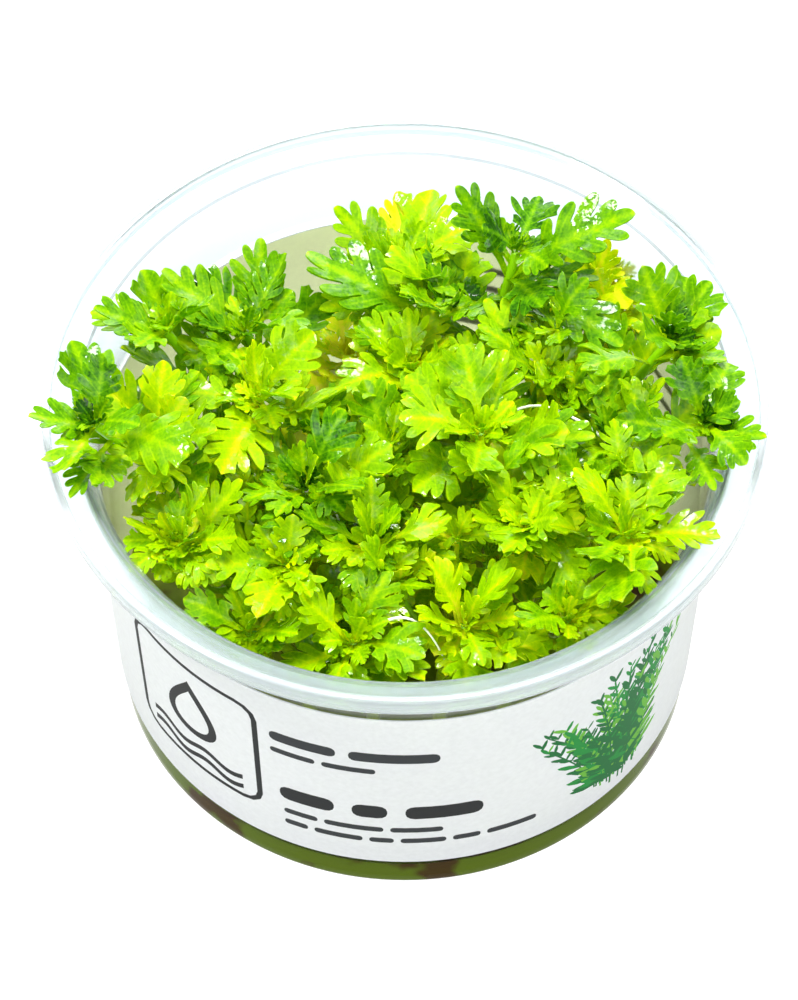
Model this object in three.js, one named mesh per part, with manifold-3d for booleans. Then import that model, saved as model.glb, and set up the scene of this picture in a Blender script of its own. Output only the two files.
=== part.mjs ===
// A tub of water violet raised in tissue culture: a clear tapered cup with a wide snap rim, a paper
// label wrapped round its wall, a disc of nutrient gel on its floor, and the young plants rooted in
// the gel. Each shoot is one solid, a stem with its bud and a ring of small lobed leaves grown from
// it, and the large leaves are solids of their own. Millimetres, +Z up, the origin at the centre of
// the cup's base, and +Y away from the side that shows the front of the label.
import * as THREE from "three";
import { mergeVertices } from "three/addons/utils/BufferGeometryUtils.js";
import Module from "manifold-3d";

const wasm = await Module();
wasm.setup();

// Driving dimensions of the cup
const RIM_RADIUS = 50;
const CUP_HEIGHT = 59.5;
const BASE_RADIUS = 41;
const WALL = 0.9;
const WALL_TAPER = 0.05; // outward, for each millimetre of height
const WALL_TOP = 48; // where the straight wall ends and flares to the rim
const FLARE_RADIUS = 45.1; // the inner edge of the rim
const FLARE_HEIGHT = 57.2;
const SKIRT = 2.7; // how far the lip hangs down outside
const LIP_LAND = 0.8; // the flat ring on top that a lid lies on
const FLOOR_RECESS = 0.4; // how far the floor is lifted inside the foot ring
const FLOOR = 0.6;
const FOOT_RADIUS = 40.8;
const FOOT_WIDTH = 2.4;
const FOOT_CHAMFER = 0.6;
const INNER_CORNER = 1.4; // of the chamfer between floor and wall, inside
const STEP_HEIGHT = 53.5; // of the soft step between wall and flare
const STEP_OUT = 1;
const ROUND_SEGMENTS = 36;

// Label and gel
const LABEL_BOTTOM = 6.4;
const LABEL_TOP = 45.4;
const PAPER = 0.2;
const GLUE_GAP = 0.12;
const LABEL_SLIT = 1.6; // between the label's two ends, at the back
const GEL_TOP = 9.5;
const GEL_GAP = 0.15;
const MENISCUS = 0.8;

// Plants
const CLEARANCE = 0.3; // left between touching pieces
const ROOT_DEPTH = 4; // of a stem in the gel
const ROOT_SPREAD = 0.62; // where a stem is rooted, as a share of its crown's distance from the axis
const STEM_RADIUS = 0.9;
const STEM_SIDES = 5;
const STEM_STEPS = 4;
const GOLDEN_ANGLE = THREE.MathUtils.degToRad(137.5);
const CROWN_RISE = [10, 30, 14, 34, 22].map(THREE.MathUtils.degToRad); // of its leaves, going round
const CROWN_LEAF = 12.5; // full reach of a leaf in a crown of size 1
const BLADE_SHARES = [1, 0.87, 0.74, 0.61, 0.48]; // of the full reach, tried in turn
const BLADE_TURNS = [0, 8, -8].map(THREE.MathUtils.degToRad); // sideways, tried in turn
const TOUCH = 0.01; // cubic millimetres of a leaf that may lie in a neighbour's clearance
const CROWN_WIDTH = 0.66; // as a share of the reach
const CROWN_START = 0.15; // where its lobes start, as a share of the reach
const CROWN_TAPER = 1.5; // how much narrower its first lobes are than its last
const HUB_RADIUS = 1.6; // where two leaves of a crown part
const HUB_HEIGHT = 1;
const CROWN_BEND = 0.7; // radians that a crown leaf arches over its length
const CROWN_RIB = 0.9; // thickness at a crown leaf's midrib
const LEAF_BEND = 0.6;
const LEAF_RIB = 1.1;
const LEAF_WIDTH = 0.58; // as a share of the length
const LEAF_TAPER = 1.15;
const STALK_HALF = 0.7; // half the width of a large leaf's stalk
const STALK_SHARE = 0.26; // of the leaf's length
const LEAF_START = 4.2; // how far below its crown a large leaf leaves the stem
const LOBE_VEIN = 0.5; // places along a lobe's own stretch of the blade: of its vein,
const LOBE_TIP = 0.75; // its tip
const LOBE_NOTCH = 0.95; // and the notch after it
const NOTCH_REACH = 0.38; // of the lobe's own reach
const END_LOBE = 0.8; // length of the last lobe, in stretches
const EDGE_GROWTH = 1.2; // a leaf that others are trimmed to is wider by this much all round,
const RIB_GROWTH = 0.8; // and thicker by this much above and below its midrib

// One row for each shoot: the middle of its crown, the crown's size, and the tips of its large leaves.
const SHOOTS = [
  { at: [15.5, 23.5, 62], size: 0.8, tips: [[7, 29, 70], [32, 24, 70], [27, 20, 60], [30, 9, 59]] },
  { at: [0, 28, 53], size: 0.95, tips: [[-10, 34, 59], [-1, 40, 55]] },
  { at: [28, 28, 49], size: 0.9, tips: [] },
  { at: [-33, 12, 59], size: 0.9, tips: [[-43, 12, 64]] },
  { at: [-42, -7, 63], size: 0.85, tips: [[-51, -8, 66], [-45, -18, 61]] },
  { at: [-22, 14, 56], size: 1, tips: [[-34, 20, 62], [-20, 26, 62]] },
  { at: [-20, 0.5, 58], size: 1, tips: [[-8, -3, 60]] },
  { at: [-8, 20, 42], size: 0.9, tips: [[-16, 14, 49]] },
  { at: [6, 18, 56], size: 0.9, tips: [[-14, 25, 59]] },
  { at: [19.5, 6.5, 56], size: 0.95, tips: [[11, 16, 61], [30, 1, 60]] },
  { at: [36.5, 9.5, 60], size: 0.95, tips: [[44, 3, 64]] },
  { at: [40.5, -6, 62], size: 0.85, tips: [[49, -10, 64], [42, -16, 60]] },
  { at: [1, 9, 54], size: 0.95, tips: [] },
  { at: [-34, -6, 57], size: 0.95, tips: [[-36, -17, 58]] },
  { at: [-13.5, -13, 56], size: 1, tips: [] },
  { at: [-1, -4.5, 52], size: 0.95, tips: [] },
  { at: [10.5, -5.5, 59], size: 1, tips: [[26, -8, 61], [14, 5, 64]] },
  { at: [28, -5.5, 56], size: 0.95, tips: [[36, 2, 61]] },
  { at: [-31, -20.5, 54], size: 0.95, tips: [[-22, -14, 60]] },
  { at: [-16, -24, 54], size: 0.95, tips: [[-27, -27, 58]] },
  { at: [-4.5, -21.5, 55], size: 0.95, tips: [] },
  { at: [18.5, -18, 55], size: 1, tips: [[9, -21, 60]] },
  { at: [30, -22, 58], size: 1, tips: [] },
  { at: [-21, -32, 49], size: 0.85, tips: [] },
  { at: [-7, -34, 50], size: 0.9, tips: [[-3, -25, 57]] },
  { at: [8, -32, 51], size: 0.95, tips: [[16, -27, 57]] },
  { at: [22, -31, 51], size: 0.9, tips: [] },
];

const plastic = new THREE.MeshStandardMaterial({ color: 0xe6f2f0, roughness: 0.08, transparent: true, opacity: 0.3 });
const paper = new THREE.MeshStandardMaterial({ color: 0xf4f6f7, roughness: 0.45 });
const gel = new THREE.MeshStandardMaterial({ color: 0xb9cf6a, roughness: 0.15, transparent: true, opacity: 0.7 });
const stemGreen = new THREE.MeshStandardMaterial({ color: 0xa6d41a, roughness: 0.4 });
const leafGreen = new THREE.MeshStandardMaterial({ color: 0x6fbf12, roughness: 0.35 });

const outerRadius = (z) => BASE_RADIUS + WALL_TAPER * z;
const innerRadius = (z) => outerRadius(z) - WALL;

// A closed mesh's geometry as a solid. Triangles that have lost an edge to the merge are dropped.
function toSolid(geometry) {
  const bare = new THREE.BufferGeometry();
  bare.setAttribute("position", geometry.getAttribute("position"));
  if (geometry.index) bare.setIndex(geometry.index);
  const merged = mergeVertices(bare, 1e-3);
  const kept = [];
  for (let i = 0; i < merged.index.count; i += 3) {
    const [a, b, c] = [0, 1, 2].map((k) => merged.index.getX(i + k));
    if (a !== b && b !== c && c !== a) kept.push(a, b, c);
  }
  const vertProperties = merged.getAttribute("position").array;
  return new wasm.Manifold(new wasm.Mesh({ numProp: 3, vertProperties, triVerts: new Uint32Array(kept) }));
}

function toGeometry(solid) {
  const mesh = solid.getMesh();
  const geometry = new THREE.BufferGeometry();
  geometry.setAttribute("position", new THREE.BufferAttribute(mesh.vertProperties, 3));
  geometry.setIndex(new THREE.BufferAttribute(mesh.triVerts, 1));
  geometry.computeVertexNormals();
  return geometry;
}

const overlap = (solid, other) => solid.intersect(other).volume();

// The piece that is left of a solid once its cut-off ends have fallen away.
function largestBody(solid) {
  return solid.decompose().reduce((best, body) => (body.volume() > best.volume() ? body : best));
}

// A profile of [radius, height] pairs turned about the Z axis.
function turned(profile) {
  const points = profile.map(([radius, height]) => new THREE.Vector2(radius, height));
  return new THREE.LatheGeometry(points, ROUND_SEGMENTS).rotateX(Math.PI / 2);
}

// The cup, from the middle of its underside out to the foot, up the wall, round the lip and back down inside.
function cupGeometry() {
  const rimSlope = (CUP_HEIGHT - FLARE_HEIGHT) / (RIM_RADIUS - FLARE_RADIUS);
  const lipTop = CUP_HEIGHT - 0.5;
  const skirtInside = RIM_RADIUS - WALL;
  const floorTop = FLOOR_RECESS + FLOOR;
  const cornerTop = floorTop + INNER_CORNER;
  return turned([
    [0, FLOOR_RECESS],
    [FOOT_RADIUS - FOOT_WIDTH - FOOT_CHAMFER, FLOOR_RECESS],
    [FOOT_RADIUS - FOOT_WIDTH, 0],
    [FOOT_RADIUS, 0],
    [outerRadius(FOOT_CHAMFER), FOOT_CHAMFER],
    [outerRadius(WALL_TOP), WALL_TOP],
    [outerRadius(WALL_TOP) + STEP_OUT, STEP_HEIGHT],
    [FLARE_RADIUS + 0.4, FLARE_HEIGHT - 0.9],
    [skirtInside, FLARE_HEIGHT - 1 + (skirtInside - FLARE_RADIUS) * rimSlope],
    [skirtInside, CUP_HEIGHT - SKIRT],
    [RIM_RADIUS, CUP_HEIGHT - SKIRT],
    [RIM_RADIUS, lipTop],
    [RIM_RADIUS - 0.3, CUP_HEIGHT],
    [RIM_RADIUS - 0.3 - LIP_LAND, CUP_HEIGHT],
    [FLARE_RADIUS, FLARE_HEIGHT],
    [innerRadius(WALL_TOP) + STEP_OUT, STEP_HEIGHT + 0.5],
    [innerRadius(WALL_TOP), WALL_TOP],
    [innerRadius(cornerTop), cornerTop],
    [innerRadius(cornerTop) - INNER_CORNER, floorTop],
    [0, floorTop],
  ]);
}

// Everything that the cup takes up, with clearance: the plants are trimmed to it.
function cupKeepOut() {
  const inside = (z) => innerRadius(z) - CLEARANCE;
  const outside = RIM_RADIUS + 10;
  return toSolid(
    turned([
      [inside(0), -5],
      [outside, -5],
      [outside, CUP_HEIGHT + CLEARANCE],
      [RIM_RADIUS - 1.5, CUP_HEIGHT + CLEARANCE],
      [FLARE_RADIUS - CLEARANCE, FLARE_HEIGHT + CLEARANCE],
      [inside(WALL_TOP) + 0.6 * STEP_OUT, STEP_HEIGHT],
      [inside(WALL_TOP), WALL_TOP],
      [inside(0), -5],
    ]),
  );
}

function labelSolid() {
  const onWall = (z) => outerRadius(z) + GLUE_GAP;
  const band = toSolid(
    turned([
      [onWall(LABEL_BOTTOM), LABEL_BOTTOM],
      [onWall(LABEL_BOTTOM) + PAPER, LABEL_BOTTOM],
      [onWall(LABEL_TOP) + PAPER, LABEL_TOP],
      [onWall(LABEL_TOP), LABEL_TOP],
      [onWall(LABEL_BOTTOM), LABEL_BOTTOM],
    ]),
  );
  const slit = new THREE.BoxGeometry(LABEL_SLIT, 2 * WALL + 10, CUP_HEIGHT);
  slit.translate(0, outerRadius(LABEL_TOP), CUP_HEIGHT / 2);
  return band.subtract(toSolid(slit));
}

// The gel, with a meniscus at the wall, before the stems' sockets are cut from it.
function gelSolid() {
  const side = (z) => innerRadius(z) - GEL_GAP;
  const floor = FLOOR_RECESS + FLOOR + GEL_GAP;
  const cornerTop = floor + INNER_CORNER + GEL_GAP;
  return toSolid(
    turned([
      [0, floor],
      [side(floor) - INNER_CORNER, floor],
      [side(cornerTop), cornerTop],
      [side(GEL_TOP), GEL_TOP + MENISCUS],
      [side(GEL_TOP) - 1.5, GEL_TOP],
      [0, GEL_TOP],
    ]),
  );
}

// The lobes along one side of a blade that is widest beyond its middle: where each one's vein leaves the
// midrib, as a share of the length, and the points of its edge, as shares of the length and of the half
// width. The last lobe of a small leaf runs straight on to the leaf's tip.
function lobes({ pairs, start, taper, notched }) {
  const pitch = (1 - start) / (pairs + END_LOBE);
  return Array.from({ length: pairs }, (_, i) => {
    const x = start + pitch * i;
    const reach = Math.sin(Math.PI * ((i + LOBE_TIP) / (pairs + END_LOBE)) ** taper);
    const tip = [x + LOBE_TIP * pitch, reach];
    const notch = [x + LOBE_NOTCH * pitch, NOTCH_REACH * reach];
    return { vein: x + LOBE_VEIN * pitch, edge: notched || i + 1 < pairs ? [tip, notch] : [tip] };
  });
}

// Places points of a blade whose base is at the origin, whose tip is on +X and which arches downwards.
function bladePlacer(positions, length, bend, matrix) {
  const radius = length / bend;
  return (x, y, z) => {
    const turn = x / radius;
    const at = new THREE.Vector3((radius + z) * Math.sin(turn), y, (radius + z) * Math.cos(turn) - radius);
    return positions.push(at.applyMatrix4(matrix)) - 1;
  };
}

// Fills one side of one sheet of a blade: every edge point is fanned to the midrib point beside it.
function fillSheet(faces, midrib, edge, tip, flipped) {
  const triangle = (a, b, c) => faces.push(...(flipped ? [a, c, b] : [a, b, c]));
  const ends = [...edge, { at: tip, rib: edge[edge.length - 1].rib }];
  for (let i = 0; i + 1 < ends.length; i += 1) {
    const [from, to] = [ends[i], ends[i + 1]];
    triangle(midrib[from.rib], to.at, from.at);
    if (to.rib !== from.rib) triangle(midrib[from.rib], midrib[to.rib], to.at);
  }
}

function meshOf(positions, faces) {
  return new THREE.BufferGeometry().setFromPoints(positions).setIndex(faces);
}

// A blade's two sheets, which meet in a sharp edge and part at the midrib, from the midrib and edge
// points that it starts with. Each side starts with its own edge points, on the left and on the right.
function addBlade(faces, place, shape, midribs, edges) {
  const { length, width, half, growth } = shape;
  const [top, bottom] = midribs;
  const [left, right] = edges;
  for (const lobe of lobes(shape)) {
    top.push(place(lobe.vein * length, 0, half));
    bottom.push(place(lobe.vein * length, 0, -half));
    for (const [x, y] of lobe.edge) {
      const out = (y * width) / 2 + growth;
      left.push({ at: place(x * length, out, 0), rib: top.length - 1 });
      right.push({ at: place(x * length, -out, 0), rib: top.length - 1 });
    }
  }
  const tip = place(length + growth, 0, 0);
  fillSheet(faces, top, left, tip, false);
  fillSheet(faces, top, right, tip, true);
  fillSheet(faces, bottom, left, tip, true);
  fillSheet(faces, bottom, right, tip, false);
}

// The matrix that carries a leaf from its own frame to the stretch from one point to another, face up.
function leafMatrix(from, to, bend) {
  const chord = to.clone().sub(from).normalize();
  const side = new THREE.Vector3(0, 0, 1).cross(chord).normalize();
  const up = chord.clone().cross(side);
  const turn = new THREE.Matrix4().makeBasis(chord, side, up);
  return turn.multiply(new THREE.Matrix4().makeRotationY(-bend / 2)).setPosition(from);
}

// The length along a bent leaf whose two ends lie this far apart.
const arcOf = (chord, bend) => (chord * bend) / (2 * Math.sin(bend / 2));

function stemCurve(shoot) {
  const crown = new THREE.Vector3(...shoot.at);
  const rooted = new THREE.Vector3(ROOT_SPREAD * crown.x, ROOT_SPREAD * crown.y, GEL_TOP - ROOT_DEPTH);
  const knee = rooted.clone().setZ(rooted.z + 0.6 * (crown.z - rooted.z));
  return new THREE.QuadraticBezierCurve3(rooted, knee, crown);
}

// Where the leaves of a shoot's crown part, and the direction in which its stem ends there.
function crownBase(shoot) {
  const tangent = stemCurve(shoot).getTangent(1);
  return { node: new THREE.Vector3(...shoot.at), tangent };
}

function stemSolid(curve, clearance) {
  const radius = STEM_RADIUS + clearance;
  const corners = Array.from({ length: STEM_SIDES }, (_, i) => (2 * Math.PI * i) / STEM_SIDES);
  const outline = new THREE.Shape(corners.map((turn) => new THREE.Vector2(Math.cos(turn), Math.sin(turn))
    .multiplyScalar(radius)));
  return toSolid(new THREE.ExtrudeGeometry(outline, { steps: STEM_STEPS, extrudePath: curve }));
}

// The crown of small leaves at the end of a stem, one surface with a hub that the blades part from.
// The blades are listed going round, and a grown crown is the keep-out for others.
function crownSolid(shoot, blades, grown = false) {
  const { node, tangent } = crownBase(shoot);
  const lean = new THREE.Quaternion().setFromUnitVectors(new THREE.Vector3(0, 0, 1), tangent);
  const growth = grown ? EDGE_GROWTH : 0;
  const half = CROWN_RIB / 2 + (grown ? RIB_GROWTH : 0);
  const heading = (around, rise) =>
    new THREE.Vector3(Math.cos(around), Math.sin(around), Math.tan(rise)).normalize().applyQuaternion(lean);
  const positions = [];
  const faces = [];
  const hubs = [1, -1].map((side) => positions.push(node.clone().addScaledVector(tangent, side * HUB_HEIGHT)) - 1);
  const valleys = blades.map((blade, k) => {
    const before = blades.at(k - 1);
    const gap = k ? blade.around - before.around : blade.around - before.around + 2 * Math.PI;
    const away = heading(blade.around - gap / 2, (blade.rise + before.rise) / 2);
    return positions.push(node.clone().addScaledVector(away, HUB_RADIUS + growth)) - 1;
  });
  blades.forEach(({ around, rise, reach }, k) => {
    const length = arcOf(reach, CROWN_BEND);
    const tip = node.clone().addScaledVector(heading(around, rise), reach);
    const place = bladePlacer(positions, length, CROWN_BEND, leafMatrix(node, tip, CROWN_BEND));
    const width = CROWN_WIDTH * reach;
    const form = { pairs: 2, start: CROWN_START, taper: CROWN_TAPER, notched: false };
    const left = { at: valleys[(k + 1) % valleys.length], rib: 0 };
    const right = { at: valleys[k], rib: 0 };
    addBlade(faces, place, { ...form, length, width, half, growth }, hubs.map((hub) => [hub]), [[left], [right]]);
  });
  return toSolid(meshOf(positions, faces));
}

// The room that the middle of a crown takes up, with clearance.
function hubKeepOut(shoot) {
  const hub = new THREE.IcosahedronGeometry(HUB_RADIUS + 2 * CLEARANCE, 0);
  return toSolid(hub.translate(...crownBase(shoot).node.toArray()));
}

// The longest blade for a place in a crown that clears the pieces around it, or none.
function fittedBlade(shoot, around, rise, others) {
  for (const share of BLADE_SHARES) {
    for (const turn of BLADE_TURNS) {
      const blade = { around: around + turn, rise, reach: CROWN_LEAF * shoot.size * share };
      const solid = crownSolid(shoot, [blade]);
      if (others.every((other) => overlap(solid, other) < TOUCH)) return [blade];
    }
  }
  return [];
}

// A large leaf of a shoot, with a stalk that starts square, and the matrix that places it.
function largeLeaf(shoot, tipAt) {
  const curve = stemCurve(shoot);
  const foot = curve.getPointAt(1 - LEAF_START / curve.getLength());
  const tip = new THREE.Vector3(...tipAt);
  const length = arcOf(foot.distanceTo(tip), LEAF_BEND);
  const matrix = leafMatrix(foot, tip, LEAF_BEND);
  const solid = (grown) => {
    const growth = grown ? EDGE_GROWTH : 0;
    const half = LEAF_RIB / 2 + (grown ? RIB_GROWTH : 0);
    const positions = [];
    const faces = [];
    const place = bladePlacer(positions, length, LEAF_BEND, matrix);
    const [start, side] = [STALK_SHARE * length, STALK_HALF + growth];
    const midribs = [half, -half].map((z) => [place(-growth, 0, z), place(start, 0, z)]);
    const edges = [side, -side].map((y) => [
      { at: place(-growth, y, 0), rib: 0 },
      { at: place(start, y, 0), rib: 1 },
    ]);
    faces.push(midribs[0][0], edges[0][0].at, midribs[1][0], midribs[0][0], midribs[1][0], edges[1][0].at);
    const width = LEAF_WIDTH * length + 1;
    const form = { pairs: 3, start: STALK_SHARE, taper: LEAF_TAPER, notched: true };
    addBlade(faces, place, { ...form, length, width, half, growth }, midribs, edges);
    return toSolid(meshOf(positions, faces));
  };
  return { matrix, solid };
}

const group = new THREE.Group();

// Adds a world-space solid as a named mesh that stands at the given matrix.
function addMesh(name, solid, material, matrix = new THREE.Matrix4()) {
  const mesh = new THREE.Mesh(toGeometry(solid).applyMatrix4(matrix.clone().invert()), material);
  mesh.name = name;
  mesh.applyMatrix4(matrix);
  group.add(mesh);
}

addMesh("cup", toSolid(cupGeometry()), plastic);
addMesh("label", labelSolid(), paper);

const stems = SHOOTS.map((shoot) => stemSolid(stemCurve(shoot), 0));
const stemKeepOuts = SHOOTS.map((shoot) => stemSolid(stemCurve(shoot), CLEARANCE));
addMesh("agar_gel", stemKeepOuts.reduce((left, cutter) => left.subtract(cutter), gelSolid()), gel);

// Each leaf is trimmed clear of the cup, of the stems and of the leaves placed before it.
const keepOut = [cupKeepOut(), ...stemKeepOuts];
const trim = (solid, cutters) =>
  largestBody(
    cutters.filter((cutter) => overlap(solid, cutter) > TOUCH).reduce((left, cutter) => left.subtract(cutter), solid),
  );

const hubs = SHOOTS.map(hubKeepOut);
const twoDigits = (number) => String(number).padStart(2, "0");
let leafNumber = 0;
SHOOTS.forEach((shoot, i) => {
  for (const tip of shoot.tips) {
    const leaf = largeLeaf(shoot, tip);
    leafNumber += 1;
    addMesh(`leaf_${twoDigits(leafNumber)}`, trim(leaf.solid(false), [...keepOut, ...hubs]), leafGreen, leaf.matrix);
    keepOut.push(leaf.solid(true).subtract(hubs[i]));
  }
});

SHOOTS.forEach((shoot, i) => {
  const others = keepOut.filter((cutter) => cutter !== stemKeepOuts[i]);
  const blades = CROWN_RISE.flatMap((rise, k) =>
    fittedBlade(shoot, GOLDEN_ANGLE * i + (2 * Math.PI * k) / CROWN_RISE.length, rise, others),
  );
  const crown = trim(crownSolid(shoot, blades), others);
  const matrix = new THREE.Matrix4().setPosition(...shoot.at);
  addMesh(`shoot_${twoDigits(i + 1)}`, stems[i].add(crown), stemGreen, matrix);
  keepOut.push(crownSolid(shoot, blades, true));
});

export default group;
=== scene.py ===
"""Looks of a tub of water violet raised in tissue culture.

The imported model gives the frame: a clear cup, its paper label, the disc of nutrient gel on its floor,
the shoots rooted in the gel and the large leaves. Every piece is modelled here again at the place and
reach of its solid, with the finish of the real one. Sizes are real millimetres, turned to metres where
a mesh is made.
"""

import logging
import math
import random
from collections import Counter
from dataclasses import dataclass, field
from enum import Enum
from typing import Callable, Iterable, Sequence

import bmesh
import bpy
import numpy as np
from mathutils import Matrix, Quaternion, Vector
from mathutils.geometry import delaunay_2d_cdt


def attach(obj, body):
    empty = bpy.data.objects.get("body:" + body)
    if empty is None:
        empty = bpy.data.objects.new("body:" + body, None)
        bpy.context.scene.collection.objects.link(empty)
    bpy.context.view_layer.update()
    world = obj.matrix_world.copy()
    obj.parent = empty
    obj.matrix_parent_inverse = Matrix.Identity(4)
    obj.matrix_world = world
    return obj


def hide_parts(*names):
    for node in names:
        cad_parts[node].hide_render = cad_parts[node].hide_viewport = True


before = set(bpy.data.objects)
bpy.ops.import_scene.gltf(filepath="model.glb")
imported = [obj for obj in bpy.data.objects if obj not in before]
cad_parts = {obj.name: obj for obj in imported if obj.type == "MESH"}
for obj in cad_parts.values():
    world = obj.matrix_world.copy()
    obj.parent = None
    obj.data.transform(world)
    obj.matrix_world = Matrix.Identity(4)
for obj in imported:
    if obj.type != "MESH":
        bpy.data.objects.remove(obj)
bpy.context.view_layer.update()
LOG = logging.getLogger("water_violet_cup")
MM = 0.001
BODY = "root"
GOLDEN_ANGLE = math.radians(137.5)
SMOOTH_ANGLE = math.radians(50)
UP = Vector((0.0, 0.0, 1.0))


# Helpers for materials


def linear(colour: str) -> tuple[float, float, float, float]:
    """Turns an sRGB hex colour to linear light.

    Args:
        colour: The colour as "#rrggbb".

    Returns:
        Red, green, blue and a full alpha, as Blender's sockets take them.
    """
    parts = [int(colour[i : i + 2], 16) / 255 for i in (1, 3, 5)]
    red, green, blue = (c / 12.92 if c <= 0.04045 else ((c + 0.055) / 1.055) ** 2.4 for c in parts)
    return red, green, blue, 1.0


def set_stops(ramp: bpy.types.ColorRamp, stops: Sequence[tuple[float, str]]) -> None:
    """Gives a new colour ramp its stops.

    Args:
        ramp: The ramp.
        stops: Position and sRGB hex colour of each stop.
    """
    while len(ramp.elements) < len(stops):
        ramp.elements.new(1.0)
    for element, (position, colour) in zip(ramp.elements, stops):
        element.position = position
        element.color = linear(colour)


def add_node(
    tree: bpy.types.NodeTree, kind: str, settings: dict | None = None, links: dict | None = None
) -> bpy.types.Node:
    """Adds one node to a material.

    Args:
        tree: The material's node tree.
        kind: The node's Blender type name.
        settings: Values by name: an input socket's where it has one, a ramp's stops, or a property's.
        links: Output sockets by the name of the input that each one feeds.

    Returns:
        The new node.
    """
    node = tree.nodes.new(kind)
    for name, value in (settings or {}).items():
        if name == "stops":
            set_stops(node.color_ramp, value)
        elif isinstance(name, int) or name in node.inputs:
            node.inputs[name].default_value = value
        else:
            setattr(node, name, value)
    for name, output in (links or {}).items():
        tree.links.new(output, node.inputs[name])
    return node


def new_material(name: str) -> tuple[bpy.types.Material, bpy.types.NodeTree, bpy.types.NodeSocket]:
    """Makes an empty node material.

    Args:
        name: The material's name.

    Returns:
        The material, its tree, and the input that its surface shader links to.
    """
    material = bpy.data.materials.new(name)
    material.use_nodes = True
    tree = material.node_tree
    tree.nodes.clear()
    output = tree.nodes.new("ShaderNodeOutputMaterial")
    return material, tree, output.inputs["Surface"]


# Finishes


@dataclass(frozen=True)
class ClearPolypropylene:
    """Injection-moulded clear polypropylene: glossy, faintly hazy, and cool where it is seen edge on.

    Its IOR is 1.49. The lower values matched to the photograph stand where wet gel touches the plastic.
    """

    name: str = "clear_moulded_polypropylene"
    colour: str = "#f6fbfa"
    roughness: float = 0.05
    see_through: float = 1.0
    ior: float = 1.49
    # The melt's flow leaves waves some millimetres long, and only hundredths of one deep
    flow_lines_mm: float = 6.0
    flow_depth_mm: float = 0.05
    # The colour of the dead roots that lie against the plastic here and there, and how wide they lie
    patches: str | None = None
    patch_mm: float = 11.0
    patch_edge: tuple[float, float] = (0.56, 0.63)

    def material(self) -> bpy.types.Material:
        """Builds the material.

        Returns:
            The material, with the patches where the finish has them.
        """
        material, tree, surface = new_material(self.name)
        where = add_node(tree, "ShaderNodeTexCoord").outputs["Object"]
        flow = add_node(
            tree,
            "ShaderNodeTexNoise",
            {"Scale": 1 / (self.flow_lines_mm * MM), "Detail": 1.0},
            {"Vector": where},
        )
        bump = add_node(
            tree,
            "ShaderNodeBump",
            {"Strength": 0.12, "Distance": self.flow_depth_mm * MM},
            {"Height": flow.outputs["Fac"]},
        )
        shader = add_node(
            tree,
            "ShaderNodeBsdfPrincipled",
            {
                "Base Color": linear(self.colour),
                "Roughness": self.roughness,
                "IOR": self.ior,
                "Transmission Weight": self.see_through,
            },
            {"Normal": bump.outputs["Normal"]},
        )
        if self.patches:
            blots = add_node(
                tree,
                "ShaderNodeTexNoise",
                {"Scale": 1 / (self.patch_mm * MM), "Detail": 3.0},
                {"Vector": where},
            )
            mixed = add_node(
                tree,
                "ShaderNodeValToRGB",
                {"stops": list(zip(self.patch_edge, (self.colour, self.patches)))},
                {"Fac": blots.outputs["Fac"]},
            )
            tree.links.new(mixed.outputs["Color"], shader.inputs["Base Color"])
        tree.links.new(shader.outputs["BSDF"], surface)
        return material


class Ink(Enum):
    """What a stretch of the label shows: the bare paper or one of the printing inks."""

    PAPER = "#f0f3f7"
    CHARCOAL = "#222526"
    GREY = "#33373a"
    LEAF_DARK = "#007030"
    LEAF_MID = "#0b9236"
    LEAF_LIGHT = "#6abc34"


@dataclass(frozen=True)
class CoatedPaper:
    """White clay-coated label paper: smooth, satin, with the faintest fibre mottle and flat offset inks."""

    roughness: float = 0.5
    # Single fibres are too fine to show, so the mottle is drawn as wide as a clump of them
    fibre_mm: float = 0.8
    through: float = 0.42

    def material(self, name: str, colour: str, through: float | None = None) -> bpy.types.Material:
        """Builds the material of one ink, or of the bare paper.

        Args:
            name: The material's name.
            colour: Its sRGB hex colour.
            through: The share of light that this side lets through, where it isn't the usual one.

        Returns:
            The material.
        """
        material, tree, surface = new_material(name)
        where = add_node(tree, "ShaderNodeTexCoord").outputs["Object"]
        fibre = add_node(
            tree,
            "ShaderNodeTexNoise",
            {"Scale": 1 / (self.fibre_mm * MM), "Detail": 3.0},
            {"Vector": where},
        )
        mottle = add_node(
            tree,
            "ShaderNodeMapRange",
            {"From Min": 0.3, "From Max": 0.7, "To Min": 0.97, "To Max": 1.03},
            {"Value": fibre.outputs["Fac"]},
        )
        tint = add_node(
            tree,
            "ShaderNodeHueSaturation",
            {"Color": linear(colour)},
            {"Value": mottle.outputs["Result"]},
        )
        bump = add_node(
            tree,
            "ShaderNodeBump",
            {"Strength": 0.05, "Distance": 0.02 * MM},
            {"Height": fibre.outputs["Fac"]},
        )
        shader = add_node(
            tree,
            "ShaderNodeBsdfPrincipled",
            {"Roughness": self.roughness, "IOR": 1.3},
            {"Base Color": tint.outputs["Color"], "Normal": bump.outputs["Normal"]},
        )
        glow = add_node(tree, "ShaderNodeBsdfTranslucent", links={"Color": tint.outputs["Color"]})
        mixed = add_node(
            tree,
            "ShaderNodeMixShader",
            {"Fac": self.through if through is None else through},
            {1: shader.outputs["BSDF"], 2: glow.outputs["BSDF"]},
        )
        tree.links.new(mixed.outputs["Shader"], surface)
        return material


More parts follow.
